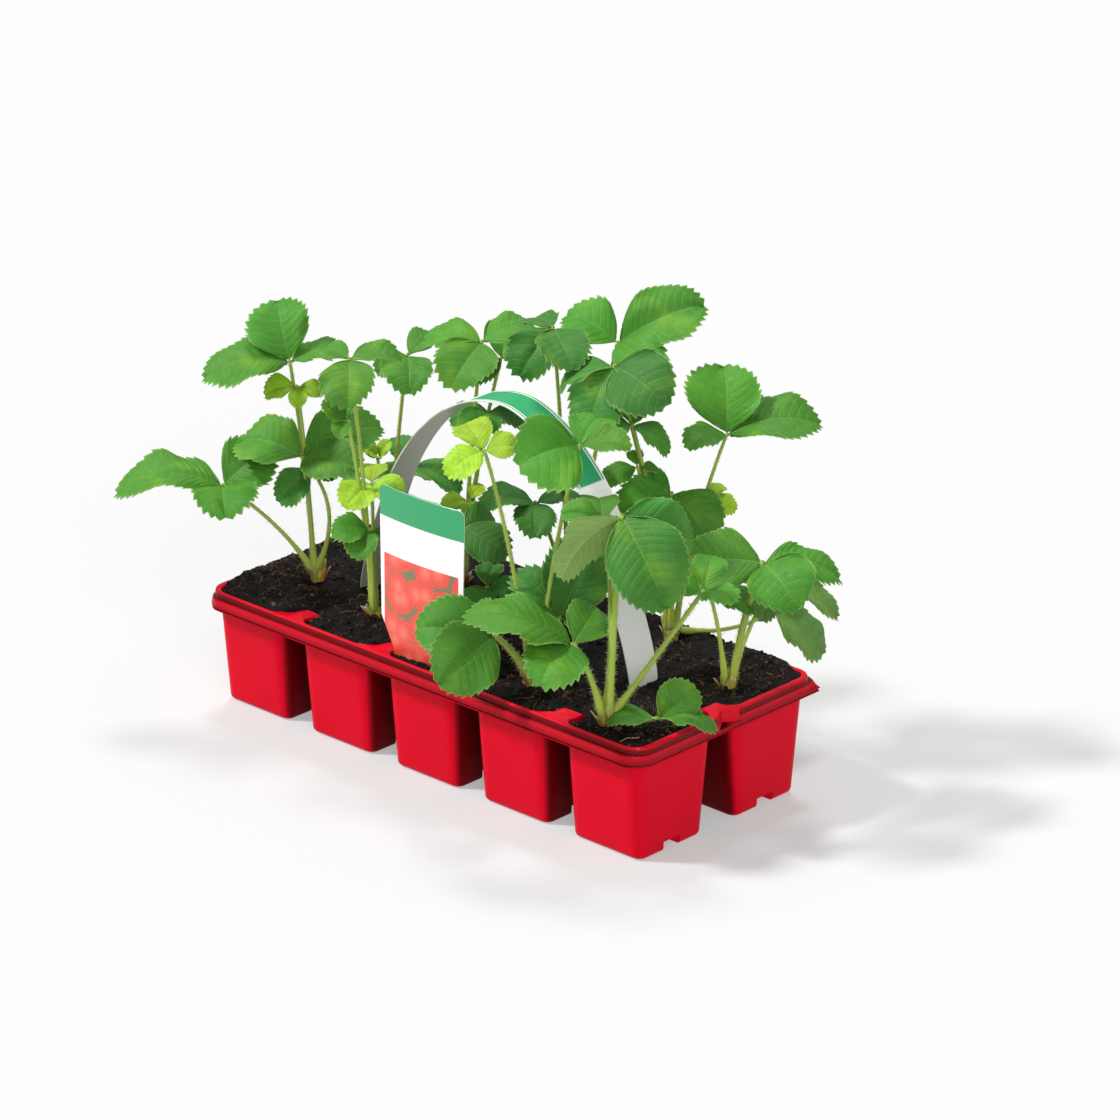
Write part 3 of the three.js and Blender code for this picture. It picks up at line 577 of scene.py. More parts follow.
class Tile:
    """One cell's share of the tray: rays from the cell's middle, and which of them reach the rim."""

    def __init__(self, centre):
        self.centre = np.array(centre, float)
        angle = cell_rays()
        self.d = np.stack([np.cos(angle), np.sin(angle)], -1)
        self.sign = np.sign(np.round(self.d, 9))
        inner = np.array([PITCH_X, PITCH_Y]) / 2
        beyond = self.centre + self.sign * inner
        self.outer = (np.abs(beyond) > LIP_HALF - [2.5, 4]) & (self.sign != 0)
        self.edge = np.where(self.outer, LIP_HALF - LIP_ROUND - np.abs(self.centre), inner)
        self.both = self.outer.all(1)
        inside, outside = np.sin(channel_angles((CELL_FOOT - TRAY_WALL)[0]))
        rise = np.abs(self.d[:, 1])
        self.in_channel = rise < inside + 1e-9
        self.at_channel = (np.abs(rise - inside) < 1e-9) | (np.abs(rise - outside) < 1e-9)

    def ring(self, half, radius):
        """Points of a rounded rectangle round the cell's middle, one on each ray."""
        half = np.broadcast_to(half, (len(self.d), 2))
        return self.d * corner_hit(self.d[:, 0], self.d[:, 1], half[:, 0], half[:, 1], radius)[:, None]


def cell_skin(piece, tile, edge, under):
    """One skin of a cell, the upper or the under one, which lies TRAY_WALL outside it. From the tile's edge
    the rings run over the deck, round the mouth's edge, down the wall, round the foot and along X to the
    floor's middle line. The drain channel lifts what lies within it along Y, and the rays beside it are
    moved on to its two sides."""
    thick = TRAY_WALL * under
    hollow = TRAY_WALL - thick
    rings = []
    def add(xy, z, low=False):
        """One ring. A low one runs round or over the drain channel."""
        if low:
            side = DRAIN_HALF + hollow
            y = np.where(tile.at_channel, np.sign(xy[:, 1]) * side, xy[:, 1])
            xy = np.stack([xy[:, 0], y], -1)
            z = np.where(tile.in_channel, np.maximum(z, DRAIN_H + hollow), z)
        rings.append(with_z(xy + tile.centre, z))
    mouth = tile.ring(CELL_MOUTH - TRAY_WALL + LIP_ROUND, CORNER_MOUTH - TRAY_WALL + LIP_ROUND)
    for f in (0, 0.2, 0.4, 0.6, 0.8, 1):
        xy = edge * (1 - f) + mouth * f
        add(xy, deck_height(*(xy + tile.centre).T) - thick)
    top = deck_height(*(mouth + tile.centre).T)
    for turn in TURNS:
        inset = TRAY_WALL - LIP_ROUND + (LIP_ROUND - thick) * np.sin(turn)
        add(tile.ring(CELL_MOUTH - inset, CORNER_MOUTH - inset),
            top - LIP_ROUND + (LIP_ROUND - thick) * np.cos(turn))
    foot_z = TRAY_WALL + FOOT_ROUND
    for z in (*WALL_Z, DRAIN_H + hollow, foot_z):
        t = z / TRAY_H
        half = CELL_FOOT * (1 - t) + CELL_MOUTH * t - hollow
        add(tile.ring(half, CORNER_FOOT * (1 - t) + CORNER_MOUTH * t - hollow), z, z < LOW_WALL)
    turned = FOOT_ROUND + thick
    for turn in TURNS:
        inset = TRAY_WALL + FOOT_ROUND - turned * np.cos(turn)
        xy = tile.ring(CELL_FOOT - inset, CORNER_FOOT - inset)
        add(xy, foot_z - turned * np.sin(turn), True)
    beyond = np.maximum(np.abs(xy[:, 1]) - DRAIN_HALF - 2, 0) * np.sign(xy[:, 1])
    for share in (0.75, 0.5, 0.25, 0):
        floor = xy * [share, 1] - np.stack([0 * beyond, beyond * 0.2 * (1 - share)], -1)
        add(floor, hollow, True)
    skin = np.stack(rings)
    piece.grid(skin[::-1] if under else skin, caps=False)


def moulding(piece, centre):
    """One cell of the tray: its two skins and, where its tile meets the rim, the lip and the flange. A
    profile runs from the under side of the deck down the flange's inner face and back up its outer face
    and over the lip. Between the two end cells the lip and the skirt step inwards in a V, above a rail
    that runs straight on, with an opening between them. At the back the flange has square corners."""
    tile = Tile(centre)
    edge = tile.ring(tile.edge, np.where(tile.both, LIP_CORNER - LIP_ROUND, 0.0))
    beyond = np.maximum(np.abs(edge) - (tile.edge - (LIP_CORNER - LIP_ROUND)), 0)
    beyond = np.where(tile.both[:, None], beyond, tile.outer)
    out = unit(beyond) * np.sign(edge + 1e-9 * tile.sign)
    depth = SCALLOP_IN * np.maximum(0, 1 - np.abs(edge[:, 1] + tile.centre[1]) / SCALLOP_HALF)
    depth = depth * (tile.outer[:, 0] & ~tile.outer[:, 1])
    inward = np.maximum(np.abs(edge[:, 0]) - (tile.edge[:, 0] - depth), 0)
    notched = edge - np.stack([tile.sign[:, 0] * inward, 0 * inward], -1)
    for under in (False, True):
        cell_skin(piece, tile, notched, under)

    lip = deck_height(*(notched + tile.centre).T)
    outer, lining = [], []
    for turn in (0, *TURNS):
        for rows, r in ((outer, LIP_ROUND), (lining, LIP_ROUND - TRAY_WALL)):
            rows.append((notched + out * r * np.sin(turn), lip - LIP_ROUND + r * np.cos(turn)))
    back = tile.both & (tile.centre[1] > 0) & (edge[:, 1] > 0) & (beyond.min(1) > 0)
    middle = tile.sign * (tile.edge - (LIP_CORNER - LIP_ROUND))
    for k, (out_x, out_y, z) in enumerate(FLANGE):
        far = np.array([out_x, out_y]) + LIP_ROUND
        xy = (notched if k < RAIL_FROM else edge) + out * far
        share = np.clip((k - SQUARE_FROM) / 7, 0, 1)
        square = np.minimum((LIP_CORNER - LIP_ROUND + far) / np.maximum(np.abs(out), 1e-9), 1e3).min(1)
        pointed = middle + out * square[:, None]
        xy = np.where(back[:, None], xy * (1 - share) + pointed * share, xy)
        outer.append((xy, z + 0 * lip))
        lining.append((xy - out * TRAY_WALL, z + 0 * lip - 0.6 * (0 < k < 8)))
    skin = np.stack([with_z(xy + tile.centre, z) for xy, z in lining + outer[::-1]])
    middle_ray = unit(tile.d + np.roll(tile.d, -1, 0))
    sign = np.sign(middle_ray)
    span = np.where(sign == tile.sign, tile.edge, np.roll(tile.edge, -1, 0))
    reaches = np.where(sign == tile.sign, tile.outer, np.roll(tile.outer, -1, 0))
    nearest = (span / np.abs(middle_ray)).argmin(1)
    on_rim = reaches[np.arange(len(reaches)), nearest]
    open_here = on_rim & (inward + np.roll(inward, -1) > 0.01)
    rows, cols = skin.shape[:2]
    index = np.arange(rows * cols).reshape(rows, cols)
    upper = len(lining) - len(FLANGE) + RAIL_FROM - 1
    lower, last = upper + 1, rows - 1
    pairs = [(r, r + 1) for r in range(rows - 1)]
    gap = [(upper, lower), (last - lower, last - upper)]
    def strip(chosen, columns):
        """The faces between pairs of rows, in the chosen columns."""
        a, b = index[[p[0] for p in chosen]], index[[p[1] for p in chosen]]
        quads = np.stack([a, np.roll(a, -1, 1), np.roll(b, -1, 1), b], -1)
        return quads[:, columns].reshape(-1, 4)
    faces = [strip([p for p in pairs if p not in gap], on_rim), strip(gap, on_rim & ~open_here),
             strip([(upper, last - upper), (last - lower, lower)], open_here)]
    before = np.roll(open_here, 1)
    ends = np.stack([index[lower], index[upper], index[last - upper], index[last - lower]], -1)
    faces += [ends[open_here & ~before & on_rim & np.roll(on_rim, 1)],
              ends[before & ~open_here & on_rim][:, ::-1]]
    piece.add(skin.reshape(-1, 3), np.concatenate(faces))


def heap(x, y):
    """Height of the soil: low at the walls, domed in each cell, heaped in the first, lumpy, spread from the
    left over the front end of each rib but the last, and level with the lip where it has spilled on to the
    rim."""
    cx = np.clip(np.round(x / PITCH_X), -2, 2) * PITCH_X
    cy = np.sign(y) * PITCH_Y / 2
    u, v = (x - cx) / (PITCH_X / 2), (y - cy) / (PITCH_Y / 2)
    dome = (1 - np.clip(u, -1, 1)**4) * (1 - np.clip(v, -1, 1)**4)
    first = (cx < -100) & (cy < 0)
    lumps = sum(height * lattice_noise(x, y, size, seed) for height, size, seed in LUMPS)
    spilled = smooth((y - 50) / 11)
    past = past_rib(x)
    rib = np.where(np.abs(x) < RIBS_END, np.abs(past), PITCH_X)
    beside = (1 - smooth((rib - 5.5) / 7)) * smooth((-y - 43) / 5)
    covered = beside * (x < PITCH_X) * (1 - smooth((past + 5.5 - (60 + y) * 0.55) / 1.5))
    bare = beside * (x > PITCH_X)
    side = smooth((-u - 0.5) / 0.3) * smooth((-y - 40) / 8) * (np.abs(u) < 1)
    left = smooth((-x - 132) / 8) * (2.4 + 1.4 * smooth(y / 12)) * smooth((y + 60) / 9)
    spilled = spilled * (1 - smooth((x - 128) / 12))
    calm = 1 - 0.8 * np.maximum(spilled * smooth((y - 58) / 4), beside)
    z = SOIL_Z + (DOME + DOME_FIRST * first) * dome + lumps * (0.6 + 0.4 * dome) * calm
    z = z + SPILL_BACK * spilled + left + SPILL_RIB * covered
    return z - SPILL_RIB * bare - SIDE_DROP * side * (1 - covered)


def soil_body(piece, centre, looks):
    """The soil of one cell: a lumpy top from the cell's middle out to the walls, or over the low ribs to
    the tile's edge, then down inside the cell. At the back it has spilled on to the rim."""
    tile = Tile(centre)
    wall = CELL_MOUTH - TRAY_WALL - 0.15
    half = np.where(tile.outer, wall, np.array([PITCH_X, PITCH_Y]) / 2)
    at_left = tile.outer[:, 0] & (tile.sign[:, 0] < 0)
    at_back = tile.outer[:, 1] & (tile.sign[:, 1] > 0)
    spill = np.stack([at_left, at_back], -1)
    right = smooth((28 * tile.d[:, 0] / np.maximum(tile.d[:, 1], 1e-3) - 4) / 16) * (centre[0] > 100)
    round_corner = smooth((2 * np.abs(tile.d.prod(1)) - 0.55) / 0.35) * tile.both
    spread = np.stack([0 * right + (0.9 if centre[1] < 0 else 2.8), 2.2 * (1 - right)], -1)
    half = half + spill * spread * (1 - 0.8 * round_corner[:, None])
    one_side = tile.outer.any(1) & ~tile.both
    corner = np.where(at_back | at_left, 3.0, 12.0 if centre[0] > 100 else 14.0)
    edge = tile.ring(half, np.where(tile.both, CORNER_MOUTH - 0.5, np.where(one_side, corner, 0.0)))
    top = [edge * f + tile.centre for f in (1 - np.linspace(1, 0, 30)**1.35)[:0:-1]]
    inner = tile.ring(CELL_MOUTH - TRAY_WALL - 0.3, CORNER_MOUTH - 1.1)
    reach = [np.linalg.norm(ring, axis=1, keepdims=True) for ring in (inner, edge)]
    inner = np.where(reach[0] < reach[1], inner, edge * 0.99)
    low = tile.ring(CELL_FOOT - TRAY_WALL - 0.3 + [0.4, 1.1], CORNER_FOOT - 1)
    sunk = ((low, DRAIN_H + TRAY_WALL + 0.4), (inner, 54.6), (edge, 55.6))
    grid = [with_z(xy + tile.centre, z) for xy, z in sunk] + [with_z(xy, heap(*xy.T)) for xy in top]
    piece.grid(np.stack(grid), tint=rgb(looks.soil) * 0.9)
    return tile, edge


def crumb_shape():
    """A twenty faced crumb: the twelve corners of an icosahedron."""
    g = (1 + 5**0.5) / 2
    points = np.array([(-1, g, 0), (1, g, 0), (-1, -g, 0), (1, -g, 0), (0, -1, g), (0, 1, g), (0, -1, -g),
                       (0, 1, -g), (g, 0, -1), (g, 0, 1), (-g, 0, -1), (-g, 0, 1)]) / (1 + g * g)**0.5
    faces = np.array([(0, 11, 5), (0, 5, 1), (0, 1, 7), (0, 7, 10), (0, 10, 11), (1, 5, 9), (5, 11, 4),
                      (11, 10, 2), (10, 7, 6), (7, 1, 8), (3, 9, 4), (3, 4, 2), (3, 2, 6), (3, 6, 8),
                      (3, 8, 9), (4, 9, 5), (2, 4, 11), (6, 2, 10), (8, 6, 7), (9, 8, 1)])
    return points, faces


def in_cell(tile, edge, count, rng):
    """Random places in a cell's soil, even over its area: a random ray, and the root of a random share."""
    ray = rng.random(count) * len(edge)
    i, f = ray.astype(int), (ray % 1)[:, None]
    out = edge[i] * (1 - f) + np.roll(edge, -1, 0)[i] * f
    weight = np.sqrt(rng.random((count, 1))) * 0.985
    return out * weight + tile.centre


def crumbs(piece, tile, edge, rng, looks):
    """Loose crumbs: each is the twenty faced shape with its corners moved at random, turned, and sunk in
    the soil by up to half its size."""
    points, faces = crumb_shape()
    place = in_cell(tile, edge, looks.crumbs, rng)
    rib = np.abs(past_rib(place[:, 0]))
    bare = (rib < FRONT_HALF) & (place[:, 1] < -FRONT_END) & (place[:, 0] > PITCH_X)
    bare |= (place[:, 0] > NOTCH_END) & (np.abs(place[:, 1]) < 6)
    place = place[~bare]
    count = len(place)
    size = looks.crumb_size / MM * np.exp(rng.normal(0, 0.5, count))
    size = np.clip(size, 0.2, 2.2)
    shape = points[None] * (1 + 0.38 * rng.uniform(-1, 1, (count, len(points), 1)))
    shape = shape * size[:, None, None] * rng.uniform(0.45, 1.25, (count, 1, 3))
    turned = np.einsum("kij,knj->kni", turn_to(unit(rng.normal(size=(count, 3)))), shape)
    z = heap(*place.T) + size * rng.uniform(-0.5, 0.35, count)
    at = with_z(place, z)
    tone = np.exp(rng.normal(0, 0.45, (count, 1)))
    # Painted light: in the four end cells far more crumbs take the lighter brown, as if light fell on their
    # soil; elsewhere the brown crumbs are the soil's own mix.
    warm_and_painted_light = rng.random((count, 1))**(1.2 if tile.both.any() else 3)
    colour = (rgb(looks.soil) * (1 - warm_and_painted_light) + rgb(looks.soil_warm) * warm_and_painted_light) * tone
    piece.copies(turned + at[:, None], faces, tint=np.repeat(colour, len(points), 0))


def fibres(piece, tile, edge, rng, looks):
    """Root and peat fibres: thin bent threads that lie on the soil."""
    for start in in_cell(tile, edge * 0.9, looks.fibres, rng):
        t = np.linspace(0, 1, 9)[:, None]
        angle = rng.uniform(0, TAU) + t[:, 0] * rng.uniform(-1.8, 1.8)
        step = rng.uniform(3, 11) * np.stack([np.cos(angle), np.sin(angle)], -1) / 8
        xy = start + np.cumsum(step, 0)
        z = heap(*xy.T) + 0.35 + rng.uniform(0, 1.3) * np.sin(np.pi * t[:, 0])
        low, high = tile.centre - CELL_MOUTH + 1.5, tile.centre + CELL_MOUTH - 1.5
        path = with_z(np.clip(xy, low, high), z)
        colour = rgb(looks.fibre) * np.exp(rng.normal(0, 0.5))
        radius = np.linspace(0.16, 0.07, 9) * rng.uniform(0.6, 1.3)
        piece.tube(path, radius, 4, np.array([0, 0, 1.0]), tint=colour)


def tray_finish(looks):
    """Moulded plastic: one red all through, a fine skin from the mould, faint flow marks, fine scuffs that
    roughen it in patches, painted shade in the narrow gaps between the cells, painted shade and a painted
    dark reflection in bands on the flange's outer face, and a polished flange."""
    f = Finish("moulded_plastic", Specular_IOR_Level=0.05, Coat_Roughness=0.07)
    flow, skin = f.noise(26, 3), f.noise(0.9, 3, 0.6)
    scuff = f.noise(2.5, 5, 0.7).step(0.55, 0.8)
    x, y, z = (f.node("SeparateXYZ", axis, Vector=f.where) / MM for axis in "XYZ")
    x, y = (x - SHIFT[0]).math("ABSOLUTE"), (y - SHIFT[1]).math("ABSOLUTE")
    beside = (((x / PITCH_X + 0.5).math("FRACT") - 0.5) * PITCH_X).math("ABSOLUTE")
    # Painted shade: the plastic is darkened deep in the narrow gaps where the walls of two cells face each
    # other, where shade falls.
    deep = []
    for place, foot, mouth, inside in ((beside, CELL_FOOT[0], CELL_MOUTH[0], x.step(141, 139)),
                                       (PITCH_Y / 2 - y, CELL_FOOT[1], CELL_MOUTH[1], 1)):
        deep.append((z * ((mouth - foot) / TRAY_H) + foot - place).step(3.2, 0.5) * inside)
    gap = deep[0].math("MAXIMUM", deep[1]) * z.step(54.5, 51)
    past_x, past_y = ((place - half + LIP_CORNER).math("MAXIMUM", 0) for place, half in ((x, LIP_HALF[0]),
                                                                                         (y, LIP_HALF[1])))
    face = ((past_x**2 + past_y**2)**0.5 - LIP_CORNER).step(-0.25, 0.05) * z.step(52.0, 52.4)
    # Painted shade and a painted dark reflection: a dark band under the lip's round, darkening from the bead
    # down towards the flange's bottom edge, and a slight darkening over the whole outer face of the flange.
    side = face * (z.step(60.9, 60.4) * z.step(57.5, 58.3) * 0.75 + z.step(57.4, 54) * 0.5 + 0.15)
    tone = f.mix(looks.red, looks.red_deep, flow.step(0.35, 0.75) * 0.35)
    # The painted shade in the gaps and the painted bands on the flange both mix the plastic towards the
    # painted shade red.
    f.set(Base_Color=f.mix(tone, looks.painted_shade_red, (gap * 0.95).math("MAXIMUM", side)),
          Roughness=scuff * 0.12 + skin * 0.06 + looks.roughness,
          Coat_Weight=z.step(52, 53) * looks.flange_gloss)
    f.bump(skin + flow * 2, 0.02)
    return f.material


def soil_finish(looks):
    """Peat: dark crumbs, each with its own tone, damp in patches and rough all over."""
    f = Finish("peat", Specular_IOR_Level=0.18)
    grain, patch = f.noise(0.8, 4, 0.7), f.noise(7, 3)
    f.set(Base_Color=f.mix(f.point("tint", "Color"), looks.soil_warm, grain.step(0.55, 0.85) * 0.4),
          Roughness=patch * 0.35 + 0.62)
    f.bump(grain, 0.5)
    return f.material


# ---- leaves --------------------------------------------------------------------------------------
def two_skins(piece, top, below, uv, **values):
    """Adds a closed blade or sheet of two skins. Each point is marked with its skin and with its rim."""
    cols = top.shape[1]
    skin = np.repeat([0.0, 1.0], cols) * np.ones((len(top), 1))
    rim = np.zeros_like(skin)
    rim[:, [0, cols - 1]], rim[:, [cols, -1]] = 1, 2
    piece.grid(np.concatenate([top, below[:, ::-1]], 1), np.concatenate([uv, uv[:, ::-1]], 1), under=skin,
               **values, rim=rim)


TOOTH_FROM, TOOTH_PEAK, TOOTH_LENGTH = 0.2, 0.7, 3.5
ROLLING, WAVE, GROOVE = 0.03, 0.045, 0.012
VEIN_SLANT, BROADER, NET_MM = 0.62, 1.06, 1.3
OUTLINE = [(0, 0.07), (0.04, 0.22), (0.11, 0.49), (0.22, 0.76), (0.35, 0.94), (0.5, 1.0), (0.62, 0.98),
           (0.74, 0.9), (0.84, 0.76), (0.91, 0.59), (0.96, 0.4), (0.99, 0.2), (1, 0.05)]
COLUMNS = np.array([0, 0.05, 0.13, 0.24, 0.36, 0.49, 0.62, 0.74, 0.85, 0.93, 1.0])


def leaf_rows(teeth):
    """Stations along the edge: five for each tooth, evenly spread over the edge's run from TOOTH_FROM to
    the tip, and three for each vein below the teeth."""
    toothed = (np.arange(teeth)[:, None] + [0, 0.25, 0.5, TOOTH_PEAK, 0.86]).ravel()
    below = (np.arange(-4, 0)[:, None] + [0, 0.36, TOOTH_PEAK]).ravel()
    tooth = np.concatenate([below, toothed, [teeth]])
    q = np.linspace(TOOTH_FROM, 1, 200)
    run = run_of(np.hypot(np.diff(q), 0.4 * np.diff(curve_through(OUTLINE, q))))
    share = tooth / teeth
    place = np.where(tooth < 0, TOOTH_FROM + share * run[-1], np.interp(share, run / run[-1], q))
    return np.concatenate([[0], place[place > 0.02]]), np.concatenate([[-3.7], tooth[place > 0.02]])


def leaflet(piece, hub, row, colour, looks, rng):
    """One leaflet, a closed blade with an upper and a lower skin. Row q meets the edge at share q of the
    length, and starts lower down the rib, so rows follow the side veins. The point of row q, column v is
    foot + along t L + side (s W + bow t^2) L + up h L, with s = v outline(q), one half a little wider than
    the other, t = rib(q) + (q - rib(q)) |v|^1.25, and h = 4 arch t (1 - t) + fold W |s| - curl W s^2
    (0.4 + 0.6 t) - droop at the tip + swellings between the veins + a soft noise + a wave at the edge - a
    groove along the rib. Teeth push the edge outwards and forwards. Returns the point under each rib
    station and the blade's side."""
    reach, (wide, lean, roll) = np.array(row[:3], float), (*row, 0)[3:6]
    wide = wide * BROADER
    length = np.linalg.norm(reach) - FOOT_OUT
    along = unit(reach)
    up = np.array([lean * LEAN_TO[0], lean * LEAN_TO[1], 1])
    up = unit(up - along * (up @ along))
    up = unit(up + roll * np.cross(along, up))
    side = np.cross(along, up)
    foot = hub + along * FOOT_OUT

    teeth = int(np.clip(np.round(length / TOOTH_LENGTH), 8, 12))
    q, tooth = leaf_rows(teeth)
    v = np.concatenate([-COLUMNS[:0:-1], COLUMNS])
    q, tooth, v = q[:, None], tooth[:, None], v[None, :]
    a = np.abs(v)
    width = curve_through(OUTLINE, q)
    rib = np.maximum(0, q - VEIN_SLANT * width * wide * (1 - 0.3 * q**3)) * smooth(q * 12)
    phase = tooth % 1
    saw = np.where(phase < TOOTH_PEAK, phase / TOOTH_PEAK, (1 - phase) / (1 - TOOTH_PEAK)) ** 0.9
    saw = saw * smooth((tooth + 0.6) / 1.5) * (q < 0.999)
    deep = looks.tooth_depth * (11 / teeth) * rng.uniform(0.8, 1.25)
    deep = deep * (0.8 + 0.4 * rng.random((len(q), 1))) * smooth((a - 0.78) / 0.22)
    lopsided, bow = rng.uniform(-0.12, 0.12), rng.uniform(-0.1, 0.1)
    s = (np.sign(v) + lopsided) * (a * width + deep * saw * 0.75 / wide)
    t = rib + (q - rib) * a**1.25 + deep * saw * 0.85
    t = t * (1 - looks.tooth_depth * 0.5) + q**6 * looks.tooth_depth * 0.5
    pucker = lattice_noise(q * 9 + 40 * rng.random(), v * 3 + 40 * rng.random() + 0 * q, 1, 5)
    swell = (np.abs(np.sin(np.pi * (phase - TOOTH_PEAK))) ** 0.8 * (1 + 0.6 * pucker) * smooth(a / 0.2)
             * (1 - 0.75 * a**3))
    rolling = lattice_noise(q * 2.6 + 30 * rng.random(), v * 1.7 + 30 * rng.random() + 0 * q, 1, 6)
    half = (v > 0).astype(int)
    turns = rng.uniform(1.2, 2.2, 2)[half] * q * TAU + rng.uniform(0, TAU, 2)[half]
    soft = np.sqrt(s * s + 0.02) - 0.1414
    curl, droop, fold = rng.uniform(0.1, 0.3), rng.uniform(0.02, 0.1), FOLD * rng.uniform(0.8, 1.8)
    h = (4 * ARCH * t * (1 - t) + fold * wide * soft - curl * wide * s * s * (0.4 + 0.6 * t)
         - droop * smooth((t - 0.62) / 0.5)**2 + looks.swelling * swell * width
         + ROLLING * rolling * smooth(a * 2) + WAVE * np.sin(turns) * a**2 * width
         - GROOVE * np.exp(-(s / 0.08)**2))
    points = foot + length * (t[..., None] * along + (s * wide + bow * t**2)[..., None] * side
                              + h[..., None] * up)

    down, across = np.gradient(points, axis=0), np.gradient(points, axis=1)
    normal = unit(np.cross(across, down) + 1e-6 * up)
    normal = normal * np.sign(normal @ up)[..., None]
    thick = looks.blade_thickness / MM * (1 - 0.45 * a**4)
    under = points - normal * (thick * np.ones_like(q))[..., None]
    two_skins(piece, points, under, np.stack(np.broadcast_arrays(tooth, v), -1), tint=colour)
    return under[:, v.shape[1] // 2], side


def ring_path(foot, middle, end, count):
    """A quadratic Bezier curve: (1-t)^2 foot + 2t(1-t) middle + t^2 end, at even t."""
    t = np.linspace(0, 1, count)[:, None]
    return (1 - t)**2 * foot + 2 * t * (1 - t) * middle + t**2 * end


SPIKE = np.array([[1, 0, 0], [-0.5, 0.87, 0], [-0.5, -0.87, 0], [0, 0, 1]], float)
SPIKE_FACES = np.array([[0, 1, 3], [1, 2, 3], [2, 0, 3], [0, 2, 1]])


def turn_to(direction):
    """Matrices, one for each direction, whose third column is that direction."""
    aid = np.where(np.abs(direction[:, 2:]) < 0.9, [[0, 0, 1]], [[1, 0, 0]])
    first = unit(np.cross(aid, direction))
    return np.stack([first, np.cross(direction, first), direction], -1)


def hairs(piece, path, radius, per_mm, long, rng, **values):
    """Fine tapered hairs that stand out of a stalk all round, at random places along it."""
    steps = np.linalg.norm(np.diff(path, axis=0), axis=1)
    count = int(steps.sum() * per_mm)
    if not count:
        return
    at = rng.random(count) * (len(path) - 1.001)
    i, f = at.astype(int), (at % 1)[:, None]
    tangent = unit(path[i + 1] - path[i])
    frame = turn_to(tangent)
    angle = rng.uniform(0, TAU, count)[:, None]
    out = np.cos(angle) * frame[:, :, 0] + np.sin(angle) * frame[:, :, 1]
    centre = path[i] * (1 - f) + path[i + 1] * f
    thick = np.interp(at, np.arange(len(path)), radius)[:, None]
    lean = unit(out + tangent * rng.uniform(-0.15, 0.45, (count, 1)) + rng.normal(0, 0.12, (count, 3)))
    size = np.stack([np.full(count, 0.1), np.full(count, 0.1), long * rng.uniform(0.5, 1.2, count)], -1)
    points = (np.einsum("kij,knj->kni", turn_to(lean), SPIKE[None] * size[:, None])
              + (centre + out * thick * 0.93)[:, None])
    piece.copies(points, SPIKE_FACES, **values)


def scale_leaf(piece, base, outward, height, half, splay, colour, rng):
    """A pointed scale at the crown: a closed sheet whose point (u, v) is base + up h u + outward (r + splay
    u^2) turned by the angle v half (1 - u^1.6), with two skins 0.35 apart that meet at the tip."""
    u, v = np.linspace(0, 1, 9)[:, None], np.linspace(-1, 1, 7)[None]
    turn = np.arctan2(outward[1], outward[0]) + v * half * (1 - 0.98 * u**1.6)
    def skin(r):
        """The skin that starts r from the crown's middle line."""
        reach = r * (0.62 + 0.3 * u) + splay * u**2
        return base + np.stack([reach * np.cos(turn), reach * np.sin(turn),
                                height * u - 1.5 + 0 * v], -1)
    outer, inner = skin(CROWN_R + 0.25), skin(CROWN_R - 0.1)
    shade = colour * (1 + 0.15 * rng.normal()) * np.ones((9, 14, 1))
    shade = shade * (1 - smooth((u[..., None] - 0.75) * 4)) + 0.45 * smooth((u[..., None] - 0.75) * 4)
    piece.grid(np.concatenate([outer, inner[:, ::-1]], 1), tint=shade,
               dry=(1 - 2.8 * u).clip(0) * np.ones((1, 14)))


